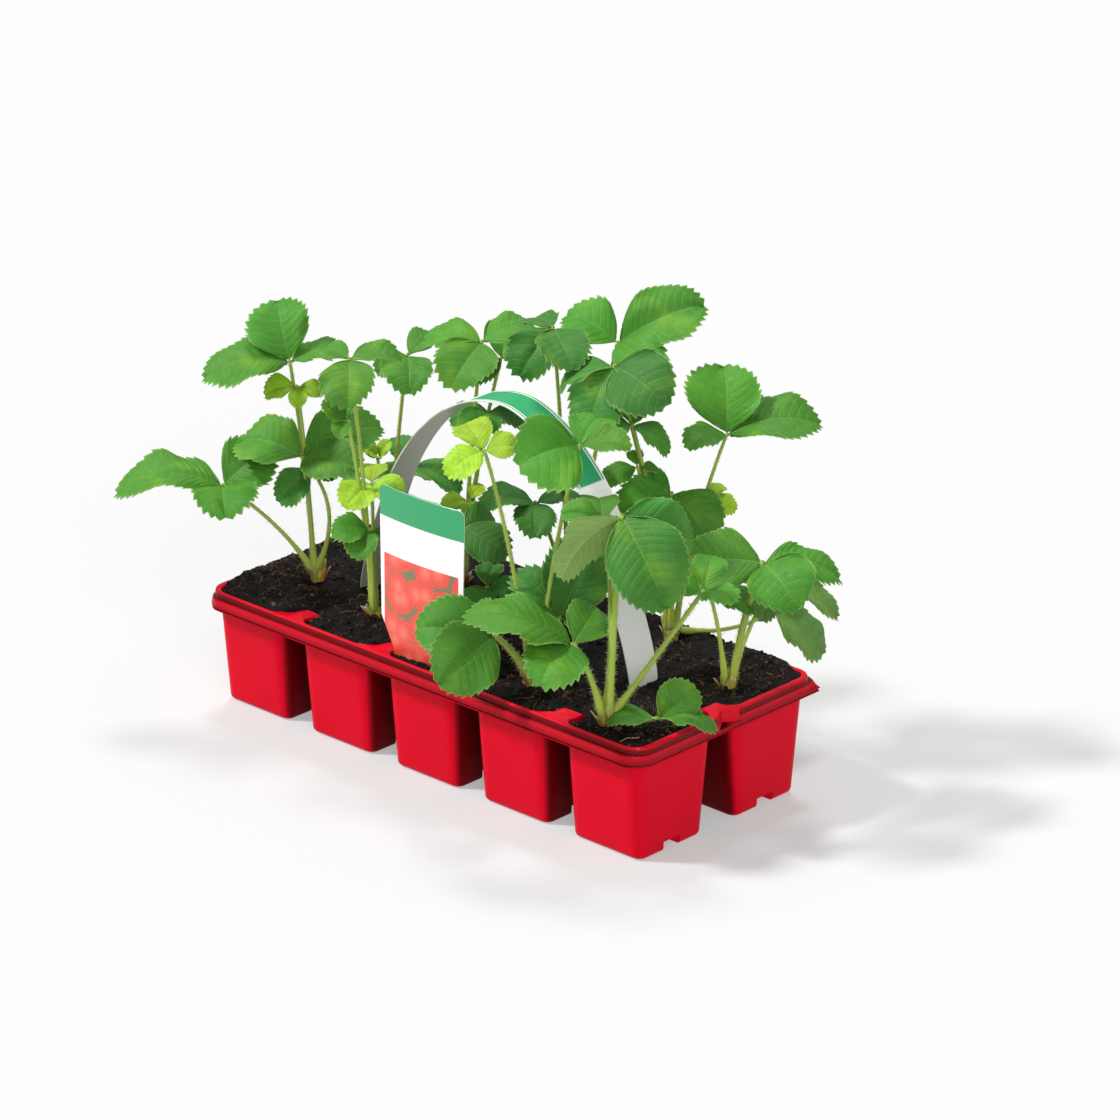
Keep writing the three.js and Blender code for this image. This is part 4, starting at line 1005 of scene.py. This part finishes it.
def grow(name, looks):
    """The leaves of one plant as one piece, and its stalks, leaf stems, hairs and crown as another."""
    crown, *leaves = PLANTS[name]
    crown = np.array(crown, float)
    rng = np.random.default_rng(sum(map(ord, name)))
    blades, stalks = Piece(), Piece()
    stalk_tint, green, brown = rgb(looks.stalk), rgb(looks.scale_green), rgb(looks.scale_brown)
    for k, (kind, hub, *rows) in enumerate(leaves):
        stem, bow = STALKS.get((name, k), PLAIN_STALK)
        hub = np.array(hub, float)
        out = unit((hub - crown) * [1, 1, 0])
        foot = crown + out * CROWN_R * 0.35 + [0, 0, CROWN_TOP / 3]
        middle = foot + (hub - foot) * STALK_MIDDLE + bow
        path = ring_path(foot, middle, hub, STALK_ROWS)
        path[0] -= [0, 0, 2]
        far = run_of(np.linalg.norm(np.diff(path, axis=0), axis=1))
        sheath = (0.7 if stem < THICK_SHEATH_BELOW else 0.2) * np.exp(-((far - 8) / 8)**2)
        radius = stem * np.linspace(1, STALK_TAPER, STALK_ROWS) * (0.72 + 0.28 * smooth(far / 7)) + sheath
        bend = np.cross(middle - foot, hub - middle)
        side = unit(bend) if np.linalg.norm(bend) > 1e-3 else np.array([0, 1, 0])
        shade = stalk_tint * rng.uniform(0.85, 1.15)
        young = 0.55 * np.exp(-(far / 6)**2)
        pale = np.exp(-(far / 22)**2)[:, None] * 0.8
        stalks.tube(path, radius, STALK_SIDES, side, tint=shade * (1 - pale) + green * pale, dry=young)
        per_mm, long = STOUT_HAIRS if stem > STOUT_STALK else FINE_HAIRS
        hairs(stalks, path, radius, per_mm, long, rng, tint=shade * 0.8 + 0.25, dry=0.0)
        base = rgb(getattr(looks, kind))
        for row in rows:
            colour = base * rng.uniform(0.88, 1.12) * (1 + 0.06 * rng.normal(size=3))
            rib, across = leaflet(blades, hub, row, colour, looks, rng)
            count = int(len(rib) * 0.85)
            root = hub - unit(rib[1] - hub) * 0.6
            line = np.concatenate([[root], [hub + (rib[0] - hub) * 0.5], rib[:count]])
            taper = np.concatenate([[0.7, 0.62], np.linspace(0.5, 0.12, count)]) * min(stem * 0.85, 1.1)
            taper = taper * min(1, np.linalg.norm(row[:3]) / 26)
            stalks.tube(line, taper, LEAF_STEM_SIDES, across, tint=shade * 0.6 + colour * 0.4, dry=0.0)
    for k in range(looks.scales):
        angle = TAU * (k + rng.uniform(-0.3, 0.3)) / looks.scales
        mix = rng.random()
        colour = green * (1 - mix) + brown * mix
        scale_leaf(stalks, crown - [0, 0, 1.5], np.array([np.cos(angle), np.sin(angle)]),
                   rng.uniform(6, 14), rng.uniform(0.4, 0.8), rng.uniform(0, 3.4), colour, rng)
    u = np.linspace(0, 1, 8)[:, None]
    a = np.linspace(0, TAU, 20, endpoint=False)[None]
    swell = CROWN_R * (0.5 + 0.3 * np.sin(u * 2.4) + 0.08 * np.sin(a * 5 + u * 3)) * (1 - 0.6 * u**3)
    rise = -CROWN_TOP * 0.6 + u * CROWN_TOP * 1.1 + 0 * a
    stub = crown + np.stack([swell * np.cos(a), swell * np.sin(a), rise], -1)
    stalks.grid(stub, tint=green, dry=0.6)
    return blades, stalks


def mark_rims(obj):
    """Marks the edges between two points of the same rim as sharp, so the two skins shade apart."""
    mesh = obj.data
    rim = np.zeros(len(mesh.vertices), np.float32)
    mesh.attributes["rim"].data.foreach_get("value", rim)
    ends = np.zeros(len(mesh.edges) * 2, np.int32)
    mesh.edges.foreach_get("vertices", ends)
    ends = ends.reshape(-1, 2)
    sharp = (rim[ends[:, 0]] > 0) & (rim[ends[:, 0]] == rim[ends[:, 1]])
    mesh.attributes.new("sharp_edge", "BOOLEAN", "EDGE").data.foreach_set("value", sharp)


def leaf_finish(looks):
    """Leaf skin: a side vein runs out to each tooth, a net of fine veins lies between, the rib and the
    edge are paler, and the under side is paler still, with raised veins."""
    f = Finish("leaf_skin", Specular_IOR_Level=0.28)
    _, tooth, v = f.uv()
    a = v.math("ABSOLUTE")
    under = f.point("under")
    off = (tooth + (0.5 - TOOTH_PEAK)).math("FRACT") - 0.5
    vein = off.math("ABSOLUTE").step(0.075, 0.0) * a.step(1.0, 0.6)
    rib = a.step(0.045, 0.0)
    lines = vein.math("MAXIMUM", rib)
    net = f.node("TexVoronoi", "Distance", {"feature": "DISTANCE_TO_EDGE"}, Vector=f.where,
                 Scale=1 / (NET_MM * MM))
    fine = net.step(0.14, 0.0)
    mottle, patch = f.noise(5), f.noise(17, 2)
    tint = f.point("tint", "Color")
    shade = f.mix(tint, looks.vein, lines * 0.14 + fine * 0.05)
    mottled = f.mix(shade, looks.dark, mottle.step(0.35, 0.8) * 0.35)
    dark = f.mix(mottled, looks.young, patch.step(0.5, 0.8) * 0.25)
    edge = a.step(0.93, 1.0)
    upper = f.mix(dark, looks.vein, edge * 0.3)
    lower = f.mix(looks.under, looks.vein, lines * 0.6 + fine * 0.15 + 0.1)
    f.set(Base_Color=f.mix(upper, lower, under), Roughness=mottle * 0.2 + 0.42 + under * 0.2)
    raised = (lines * 0.8 + fine * 0.5) * (under * 2 - 1)
    f.bump(raised + f.noise(0.7, 2) * 0.35, 0.16)
    return f.material


def stalk_finish(looks):
    """Stalk skin: fine pale flecks, a fine bumpy skin, paler hair tips, and a red brown flush near the
    crown.
    """
    f = Finish("stalk_skin", Specular_IOR_Level=0.4)
    dry = f.point("dry")
    patch = f.noise(3)
    tint = f.mix(f.point("tint", "Color"), looks.scale_brown, (dry * 0.9) * patch.step(0.35, 0.7))
    f.set(Base_Color=f.mix(tint, looks.vein, f.noise(0.8, 2).step(0.5, 0.8) * 0.3),
          Roughness=patch * 0.2 + 0.4)
    f.bump(f.noise(0.5, 2), 0.12)
    return f.material


# ---- carry band and label ------------------------------------------------------------------------
BAND_LINE = [(-92, 46), (-92, 54.4), (-92, 63), (-88, 80), (-79, 108), (-67, 135), (-51, 157), (-31, 174),
             (-11, 183), (8, 185), (28, 178), (45, 166), (60, 150), (72, 125), (81, 98), (89, 75), (92, 62),
             (92, 54.4), (92, 46)]
BAND_HALF, BAND_TAB_HALF, BAND_TAB_Z = 10.0, 12.0, 54.9
BAND_ROWS, BAND_SAG = 150, 0.35
LABEL_X, LABEL_Y, LABEL_BOW, LABEL_HALF = -4.0, -57.5, 2.0, 28.0
LABEL_FOOT, LABEL_SHOULDER, LABEL_TOP = 28, 143, 147
LABEL_WIDEST, LABEL_ROUND = 28.5, 3.5
LABEL_OUTLINE = [(LABEL_FOOT, 3), (57, 17.2), (63, 18.2), (78, 27.5), (LABEL_SHOULDER, LABEL_WIDEST)]


def sheet(middle, normal, thick, uv):
    """A thin closed sheet: its middle surface moved half its thickness each way along the normal."""
    piece = Piece()
    two_skins(piece, middle + normal * thick / 2, middle - normal * thick / 2, uv)
    return piece


def band_piece(looks):
    """The carry band: its cross line carried along a smooth curve through the band's points. The UV map
    is millimetres along the band from its left end, and millimetres across it."""
    x, z = np.array(BAND_LINE, float).T
    far = run_of(np.hypot(np.diff(x), np.diff(z)))
    s = np.linspace(0, far[-1], BAND_ROWS)
    x, z = (curve_through(np.stack([far, each], 1), s) for each in (x, z))
    line = np.stack([x, 0 * s, z], -1)
    tangent = unit(np.gradient(line, axis=0))
    out = np.cross(tangent, [0, 1, 0])
    half = np.where(line[:, 2] < BAND_TAB_Z, BAND_TAB_HALF, BAND_HALF)[:, None]
    v = np.linspace(-1, 1, 9)[None]
    sag = BAND_SAG * (1 - v**2)
    middle = line[:, None] + (v * half)[..., None] * [0, 1, 0] + sag[..., None] * -out[:, None] * 0.6
    uv = np.stack([s[:, None] + 0 * v, v * half], -1)
    return sheet(middle, -out[:, None] * np.ones_like(middle), looks.band_thickness / MM, uv)


def label_piece(looks):
    """The label: half widths at each height, with top corners that are quarters of an ellipse, bowed back
    by LABEL_BOW (u / LABEL_HALF)^2. The UV map is millimetres across from its middle and millimetres above
    the floor."""
    z = np.unique(np.concatenate([np.linspace(LABEL_FOOT, LABEL_SHOULDER, 47),
                                  np.linspace(LABEL_SHOULDER, LABEL_TOP, 7)]))
    half = np.interp(z, *np.array(LABEL_OUTLINE, float).T)
    rise = (z - LABEL_SHOULDER) / (LABEL_TOP - LABEL_SHOULDER)
    corner = LABEL_WIDEST - LABEL_ROUND * (1 - np.sqrt(np.clip(1 - rise**2, 0, 1)))
    u = np.where(z > LABEL_SHOULDER, corner, half)[:, None] * np.linspace(-1, 1, 17)[None]
    height = z[:, None] + 0 * u
    middle = np.stack([LABEL_X + u, LABEL_Y + LABEL_BOW * (u / LABEL_HALF)**2, height], -1)
    normal = unit(np.stack([2 * LABEL_BOW * u / LABEL_HALF**2, -1 + 0 * u, 0 * u], -1))
    return sheet(middle, normal, looks.label_thickness / MM, np.stack([u, height], -1))


def band_finish(looks):
    """Card band: a printed green field with a pale line along each side over the left half of the arch, a
    grey beige under side, white card down the right side, and a faint paper grain."""
    f = Finish("band_card", Coat_Weight=0.12, Coat_Roughness=0.25)
    _, along, across = f.uv()
    outer = f.point("under")
    away = across.math("ABSOLUTE")
    start, stop = looks.print_from, looks.print_to
    printed = along.step(start - 0.6, start + 0.6) * along.step(stop + 0.6, stop - 0.6)
    field = printed * away.step(9.3, 9.0)
    line = away.step(7.5, 7.7) * away.step(8.3, 8.1) * printed
    grain = f.noise(1.2, 4, 0.7)
    card = f.mix(looks.card, looks.card_shade, grain.step(0.3, 0.8) * 0.5)
    top = f.mix(f.mix(card, looks.green, field), looks.card, line)
    f.set(Base_Color=f.mix(looks.underside, top, outer), Roughness=grain * 0.15 + 0.42)
    f.bump(grain, 0.03)
    return f.material


def label_finish(looks):
    """Printed card: a green header, a white field and a red panel of plain discs and drops in a white
    margin. None of it is lettering or a picture."""
    f = Finish("label_card_print", Coat_Weight=0.35, Coat_Roughness=0.12)
    uv, u, z = f.uv()
    back = f.point("under")
    header = z.step(looks.header_z - 0.15, looks.header_z + 0.15)
    panel = z.step(looks.panel_z + 0.15, looks.panel_z - 0.15) * z.step(59.5, 60)
    panel = panel * u.math("ABSOLUTE").step(25.3, 25)
    flat = {"voronoi_dimensions": "2D"}
    spots = f.node("TexVoronoi", "Distance", flat, Vector=uv, Scale=0.085, Randomness=0.9)
    patches = f.noise(9, 3, 0.6)
    pips = f.node("TexVoronoi", "Distance", flat, Vector=uv, Scale=0.55, Randomness=0.35)
    disc = (spots + patches * 0.3).step(0.86, 0.76)
    fruit = f.mix(looks.panel_dark, looks.panel_red, disc)
    lit = f.mix(fruit, looks.panel_light, disc * spots.step(0.5, 0.0) * 0.8)
    dotted = f.mix(lit, looks.pip, disc * pips.step(0.14, 0.08) * 0.5)
    body = f.mix(looks.white, dotted, panel)
    front = f.mix(body, looks.green, header)
    grain = f.noise(1.5, 3)
    f.set(Base_Color=f.mix(front, looks.back, back), Roughness=grain * 0.1 + 0.28)
    f.bump(grain, 0.02)
    return f.material


# ---- stage ---------------------------------------------------------------------------------------
CAMERA_AT = np.array([1578.99, -1678.85, 1032.39])
CAMERA_YAW, CAMERA_PITCH, CAMERA_ROLL = np.radians([-42.58, 22.04, 0.50])
FOCAL_PX, IMAGE_PX, SENSOR = 5015.7, 1120, 36.0


def camera_axes():
    """The camera's right, up and back directions, from its yaw, its pitch down and its roll."""
    ahead = np.array([np.sin(CAMERA_YAW) * np.cos(CAMERA_PITCH), np.cos(CAMERA_YAW) * np.cos(CAMERA_PITCH),
                      -np.sin(CAMERA_PITCH)])
    right = np.array([np.cos(CAMERA_YAW), -np.sin(CAMERA_YAW), 0])
    up = np.cross(right, ahead)
    c, s = np.cos(CAMERA_ROLL), np.sin(CAMERA_ROLL)
    return np.stack([c * right + s * up, c * up - s * right, -ahead], 1)


def add_camera():
    """The camera that the photograph was taken from, as fitted to it."""
    camera = bpy.data.objects.new("photo_camera", bpy.data.cameras.new("photo_camera"))
    camera.data.sensor_fit, camera.data.sensor_width = "HORIZONTAL", SENSOR
    camera.data.lens = FOCAL_PX / IMAGE_PX * SENSOR
    camera.data.clip_start, camera.data.clip_end = 0.05, 30
    matrix = np.eye(4)
    matrix[:3, :3], matrix[:3, 3] = camera_axes(), (CAMERA_AT + SHIFT) * MM
    camera.matrix_world = Matrix(matrix)
    bpy.context.scene.collection.objects.link(camera)
    bpy.context.scene.camera = camera


def add_light(name, towards, wide, strength, colour):
    """A far lamp: the direction towards it, the angle that it fills in degrees, and its strength."""
    data = bpy.data.lights.new(name, "SUN")
    data.angle, data.energy, data.color = np.radians(wide), strength, colour
    lamp = bpy.data.objects.new(name, data)
    back = unit(np.array(towards, float))
    first = unit(np.cross([0, 0, 1], back) + [1e-9, 0, 0])
    matrix = np.eye(4)
    matrix[:3, :3], matrix[:3, 3] = np.stack([first, np.cross(back, first), back], 1), back
    lamp.matrix_world = Matrix(matrix)
    bpy.context.scene.collection.objects.link(lamp)


# ---- the add-on ----------------------------------------------------------------------------------
def tint(*screen):
    """The linear colour of three screen values from 0 to 255."""
    c = np.array(screen) / 255
    return tuple(np.where(c <= 0.04045, c / 12.92, ((c + 0.055) / 1.055)**2.4))


def colour_of(label, words, *screen):
    """A colour property with its default as screen values."""
    return bpy.props.FloatVectorProperty(name=label, description=words, default=tint(*screen), size=3,
                                         min=0, max=1, subtype="COLOR")


def number_of(label, words, value, **more):
    """A number property."""
    return bpy.props.FloatProperty(name=label, description=words, default=value, **more)


def length_of(label, words, mm):
    """A length property with its default in millimetres."""
    return number_of(label, words, mm * MM, min=0, unit="LENGTH", precision=5)


def share_of(label, words, value):
    """A plain share."""
    return number_of(label, words, value, min=0, max=1, subtype="FACTOR")


def count_of(label, words, value):
    """A count."""
    return bpy.props.IntProperty(name=label, description=words, default=value, min=0)


class PlantLooks(bpy.types.PropertyGroup):
    """Sizes and colours of the plants."""

    tooth_depth: share_of("Tooth depth", "How far the teeth stand out, as a share of the leaflet", 0.042)
    swelling: share_of("Swelling", "Swelling between the veins, as a share of the blade's length", 0.007)
    blade_thickness: length_of("Blade thickness", "Thickness of a leaflet at its rib", 0.45)
    scales: count_of("Scales", "Dry scales round each crown", 8)
    mid: colour_of("Leaf", "Upper side of a full grown leaf", 61, 126, 20)
    young: colour_of("Young leaf", "Upper side of a young leaf", 146, 184, 30)
    dark: colour_of("Shaded leaf", "Upper side of an old leaf low in the tray", 46, 110, 30)
    # Painted sheen: the grey leaf colour stands for the greyish sheen that top-lit leaves show, put into the
    # base colour of a few leaves.
    grey: colour_of("Grey leaf", "Upper side of a painted_sheen leaf", 92, 128, 56)
    under: colour_of("Under side", "Under side of the leaves", 124, 160, 84)
    vein: colour_of("Veins", "Veins and edges of the leaves", 168, 196, 112)
    stalk: colour_of("Stalks", "Stalks of the leaves", 146, 172, 62)
    scale_green: colour_of("Fresh scales", "Scales of a crown that are still fresh", 176, 188, 72)
    scale_brown: colour_of("Dry scales", "Scales of a crown that have dried", 150, 62, 30)


class TrayLooks(bpy.types.PropertyGroup):
    """Sizes and colours of the tray and its soil."""

    roughness: share_of("Roughness", "How matt the plastic is", 0.32)
    flange_gloss: share_of("Flange gloss", "How polished the lip and the flange are", 0.16)
    red: colour_of("Plastic", "Colour of the plastic", 205, 4, 34)
    red_deep: colour_of("Plastic, deeper", "Deeper tone of the plastic in its flow marks", 190, 2, 26)
    # Painted shade: the dark red that the gaps between the cells and the bands on the flange's outer face
    # are mixed towards.
    painted_shade_red: colour_of("Plastic, in the gaps", "Tone of the plastic between the cells", 84, 0, 4)
    crumbs: count_of("Crumbs", "Loose crumbs in each cell", 950)
    crumb_size: length_of("Crumb size", "Half width of a middling crumb", 0.52)
    fibres: count_of("Fibres", "Root fibres in each cell", 42)
    soil: colour_of("Soil", "Damp soil", 10, 7, 5)
    soil_warm: colour_of("Drier soil", "Brown crumbs and grains", 76, 56, 40)
    fibre: colour_of("Fibres", "Root and peat fibres", 104, 78, 54)


class CardLooks(bpy.types.PropertyGroup):
    """Sizes and colours of the carry band and the label."""

    band_thickness: length_of("Band thickness", "Thickness of the carry band", 0.7)
    label_thickness: length_of("Label thickness", "Thickness of the label", 0.7)
    print_from: number_of("Print from", "Where the band's print starts, in millimetres along it", 160)
    print_to: number_of("Print to", "Where the band's print ends, in millimetres along it", 246)
    header_z: number_of("Header foot", "Foot of the label's header, in millimetres above the floor", 131)
    panel_z: number_of("Panel top", "Top of the label's panel, in millimetres above the floor", 112)
    green: colour_of("Print green", "Green of the band and the header", 30, 150, 92)
    card: colour_of("Card", "Bare card of the band", 240, 241, 238)
    card_shade: colour_of("Card grain", "Darker grain of the bare card", 222, 224, 221)
    underside: colour_of("Band under side", "Inner side of the band", 178, 180, 168)
    white: colour_of("Label white", "White of the label", 240, 242, 240)
    back: colour_of("Label back", "Back of the label", 232, 234, 230)
    panel_red: colour_of("Panel red", "Discs of the panel", 222, 66, 52)
    panel_light: colour_of("Panel light", "Middles of the discs", 242, 118, 96)
    panel_dark: colour_of("Panel dark", "Ground of the panel", 112, 112, 78)
    pip: colour_of("Panel pips", "Pips on the discs", 240, 190, 90)


class StageLooks(bpy.types.PropertyGroup):
    """The floor and the light."""

    floor: colour_of("Floor", "Colour of the floor", 162, 162, 162)
    glow: number_of("Floor light", "Light of the floor itself", 0.355)
    sky: number_of("Room light", "Strength of the light all round", 0.45)
    side: number_of("Side light", "Strength of the lamp on the left", 3.1)
    back: number_of("Back light", "Strength of the lamp high at the back", 1.4)
    front: number_of("Front light", "Strength of the lamp on the right", 1.2)


class PLANTTRAY_OT_tray(bpy.types.Operator):
    """Moulds the tray: ten cells, the deck with its low ribs, the rim and the flange"""

    bl_idname = "planttray.tray"
    bl_label = "Tray"

    def execute(self, context):
        looks = context.scene.tray_looks
        piece = Piece()
        for centre in CELLS.values():
            moulding(piece, centre)
        tray = piece.build("moulded_tray", tray_finish(looks), "tray", ["tray"])
        work = bmesh.new()
        work.from_mesh(tray.data)
        bmesh.ops.remove_doubles(work, verts=work.verts, dist=0.02 * MM)
        bmesh.ops.dissolve_degenerate(work, edges=work.edges, dist=0.005 * MM)
        work.to_mesh(tray.data)
        work.free()
        tray.data.set_sharp_from_angle(angle=np.radians(38))
        return {"FINISHED"}


class PLANTTRAY_OT_soil(bpy.types.Operator):
    """Fills the ten cells with soil, loose crumbs and root fibres"""

    bl_idname = "planttray.soil"
    bl_label = "Soil"

    def execute(self, context):
        looks = context.scene.tray_looks
        peat = soil_finish(looks)
        for k, (name, centre) in enumerate(CELLS.items()):
            rng = np.random.default_rng(100 + k)
            body, loose = Piece(), Piece()
            tile, edge = soil_body(body, centre, looks)
            crumbs(loose, tile, edge, rng, looks)
            fibres(loose, tile, edge, rng, looks)
            body.build(f"soil_bed_{name}", peat, "soil", [f"soil_{name}"])
            loose.build(f"soil_crumbs_{name}", peat, "soil", [f"soil_{name}"])
        return {"FINISHED"}


class PLANTTRAY_OT_plants(bpy.types.Operator):
    """Grows the ten plants: leaves, stalks, hairs and crowns"""

    bl_idname = "planttray.plants"
    bl_label = "Plants"

    def execute(self, context):
        looks = context.scene.plant_looks
        leaf, stalk = leaf_finish(looks), stalk_finish(looks)
        for name in PLANTS:
            blades, stalks = grow(name, looks)
            mark_rims(blades.build(f"leaves_{name}", leaf, "plant", [f"plant_{name}"]))
            stalks.build(f"stalks_{name}", stalk, "plant", [f"plant_{name}"])
        return {"FINISHED"}


class PLANTTRAY_OT_band(bpy.types.Operator):
    """Adds the card band that the tray is carried by"""

    bl_idname = "planttray.band"
    bl_label = "Carry band"

    def execute(self, context):
        looks = context.scene.card_looks
        mark_rims(band_piece(looks).build("card_band", band_finish(looks), "band", ["carry_band"]))
        return {"FINISHED"}


class PLANTTRAY_OT_label(bpy.types.Operator):
    """Adds the label that stands in the soil"""

    bl_idname = "planttray.label"
    bl_label = "Label"

    def execute(self, context):
        looks = context.scene.card_looks
        mark_rims(label_piece(looks).build("plant_label", label_finish(looks), "label", ["label_card"]))
        return {"FINISHED"}


class PLANTTRAY_OT_stage(bpy.types.Operator):
    """Adds the floor, the lamps and the camera"""

    bl_idname = "planttray.stage"
    bl_label = "Stage"

    def execute(self, context):
        looks = context.scene.stage_looks
        mesh = bpy.data.meshes.new("pale_floor")
        mesh.from_pydata([(x * 6, y * 6, -0.0004) for x, y in ((-1, -1), (1, -1), (1, 1), (-1, 1))], [],
                         [(0, 1, 2, 3)])
        floor = bpy.data.objects.new("pale_floor", mesh)
        context.scene.collection.objects.link(floor)
        f = Finish("floor_paint", Roughness=0.9, Specular_IOR_Level=0.0, Base_Color=looks.floor,
                   Emission_Color=(1.0, 1.0, 1.0), Emission_Strength=looks.glow)
        mesh.materials.append(f.material)
        world = bpy.data.worlds.new("room")
        world.use_nodes = True
        world.node_tree.nodes["Background"].inputs["Color"].default_value = (1, 1, 1, 1)
        world.node_tree.nodes["Background"].inputs["Strength"].default_value = looks.sky
        context.scene.world = world
        context.scene.view_settings.view_transform = "Standard"
        add_light("side_lamp", (-0.49, -0.45, 0.74), 7, looks.side, (1, 1, 1))
        add_light("back_lamp", (-0.24, 0.31, 0.92), 12, looks.back, (1, 1, 1))
        add_light("front_lamp", (0.75, -0.5, 0.43), 35, looks.front, (1, 1, 1))
        add_camera()
        return {"FINISHED"}


class PLANTTRAY_PT_panel(bpy.types.Panel):
    """Lists the steps of the plant tray"""

    bl_idname = "PLANTTRAY_PT_panel"
    bl_label = "Plant tray"
    bl_space_type = "VIEW_3D"
    bl_region_type = "UI"
    bl_category = "Plant tray"

    def draw(self, context):
        for step in STEPS:
            self.layout.operator(step.bl_idname)
        for group in GROUPS:
            looks = getattr(context.scene, group)
            for key in looks.bl_rna.properties.keys()[1:]:
                self.layout.prop(looks, key)


GROUPS = {"tray_looks": TrayLooks, "plant_looks": PlantLooks, "card_looks": CardLooks,
          "stage_looks": StageLooks}
STEPS = [PLANTTRAY_OT_tray, PLANTTRAY_OT_soil, PLANTTRAY_OT_plants, PLANTTRAY_OT_band, PLANTTRAY_OT_label,
         PLANTTRAY_OT_stage]


def register():
    """Registers the classes and hangs each group of properties on the scene."""
    for each in [*GROUPS.values(), *STEPS, PLANTTRAY_PT_panel]:
        bpy.utils.register_class(each)
    for name, group in GROUPS.items():
        setattr(bpy.types.Scene, name, bpy.props.PointerProperty(type=group))


def unregister():
    """Takes off what register put on, in the opposite order."""
    for name in GROUPS:
        delattr(bpy.types.Scene, name)
    for each in [PLANTTRAY_PT_panel, *STEPS[::-1], *list(GROUPS.values())[::-1]]:
        bpy.utils.unregister_class(each)


def main():
    """Runs every step."""
    register()
    bpy.ops.planttray.tray()
    bpy.ops.planttray.soil()
    bpy.ops.planttray.plants()
    bpy.ops.planttray.band()
    bpy.ops.planttray.label()
    bpy.ops.planttray.stage()
    bpy.context.view_layer.update()


if __name__ == "__main__":
    main()
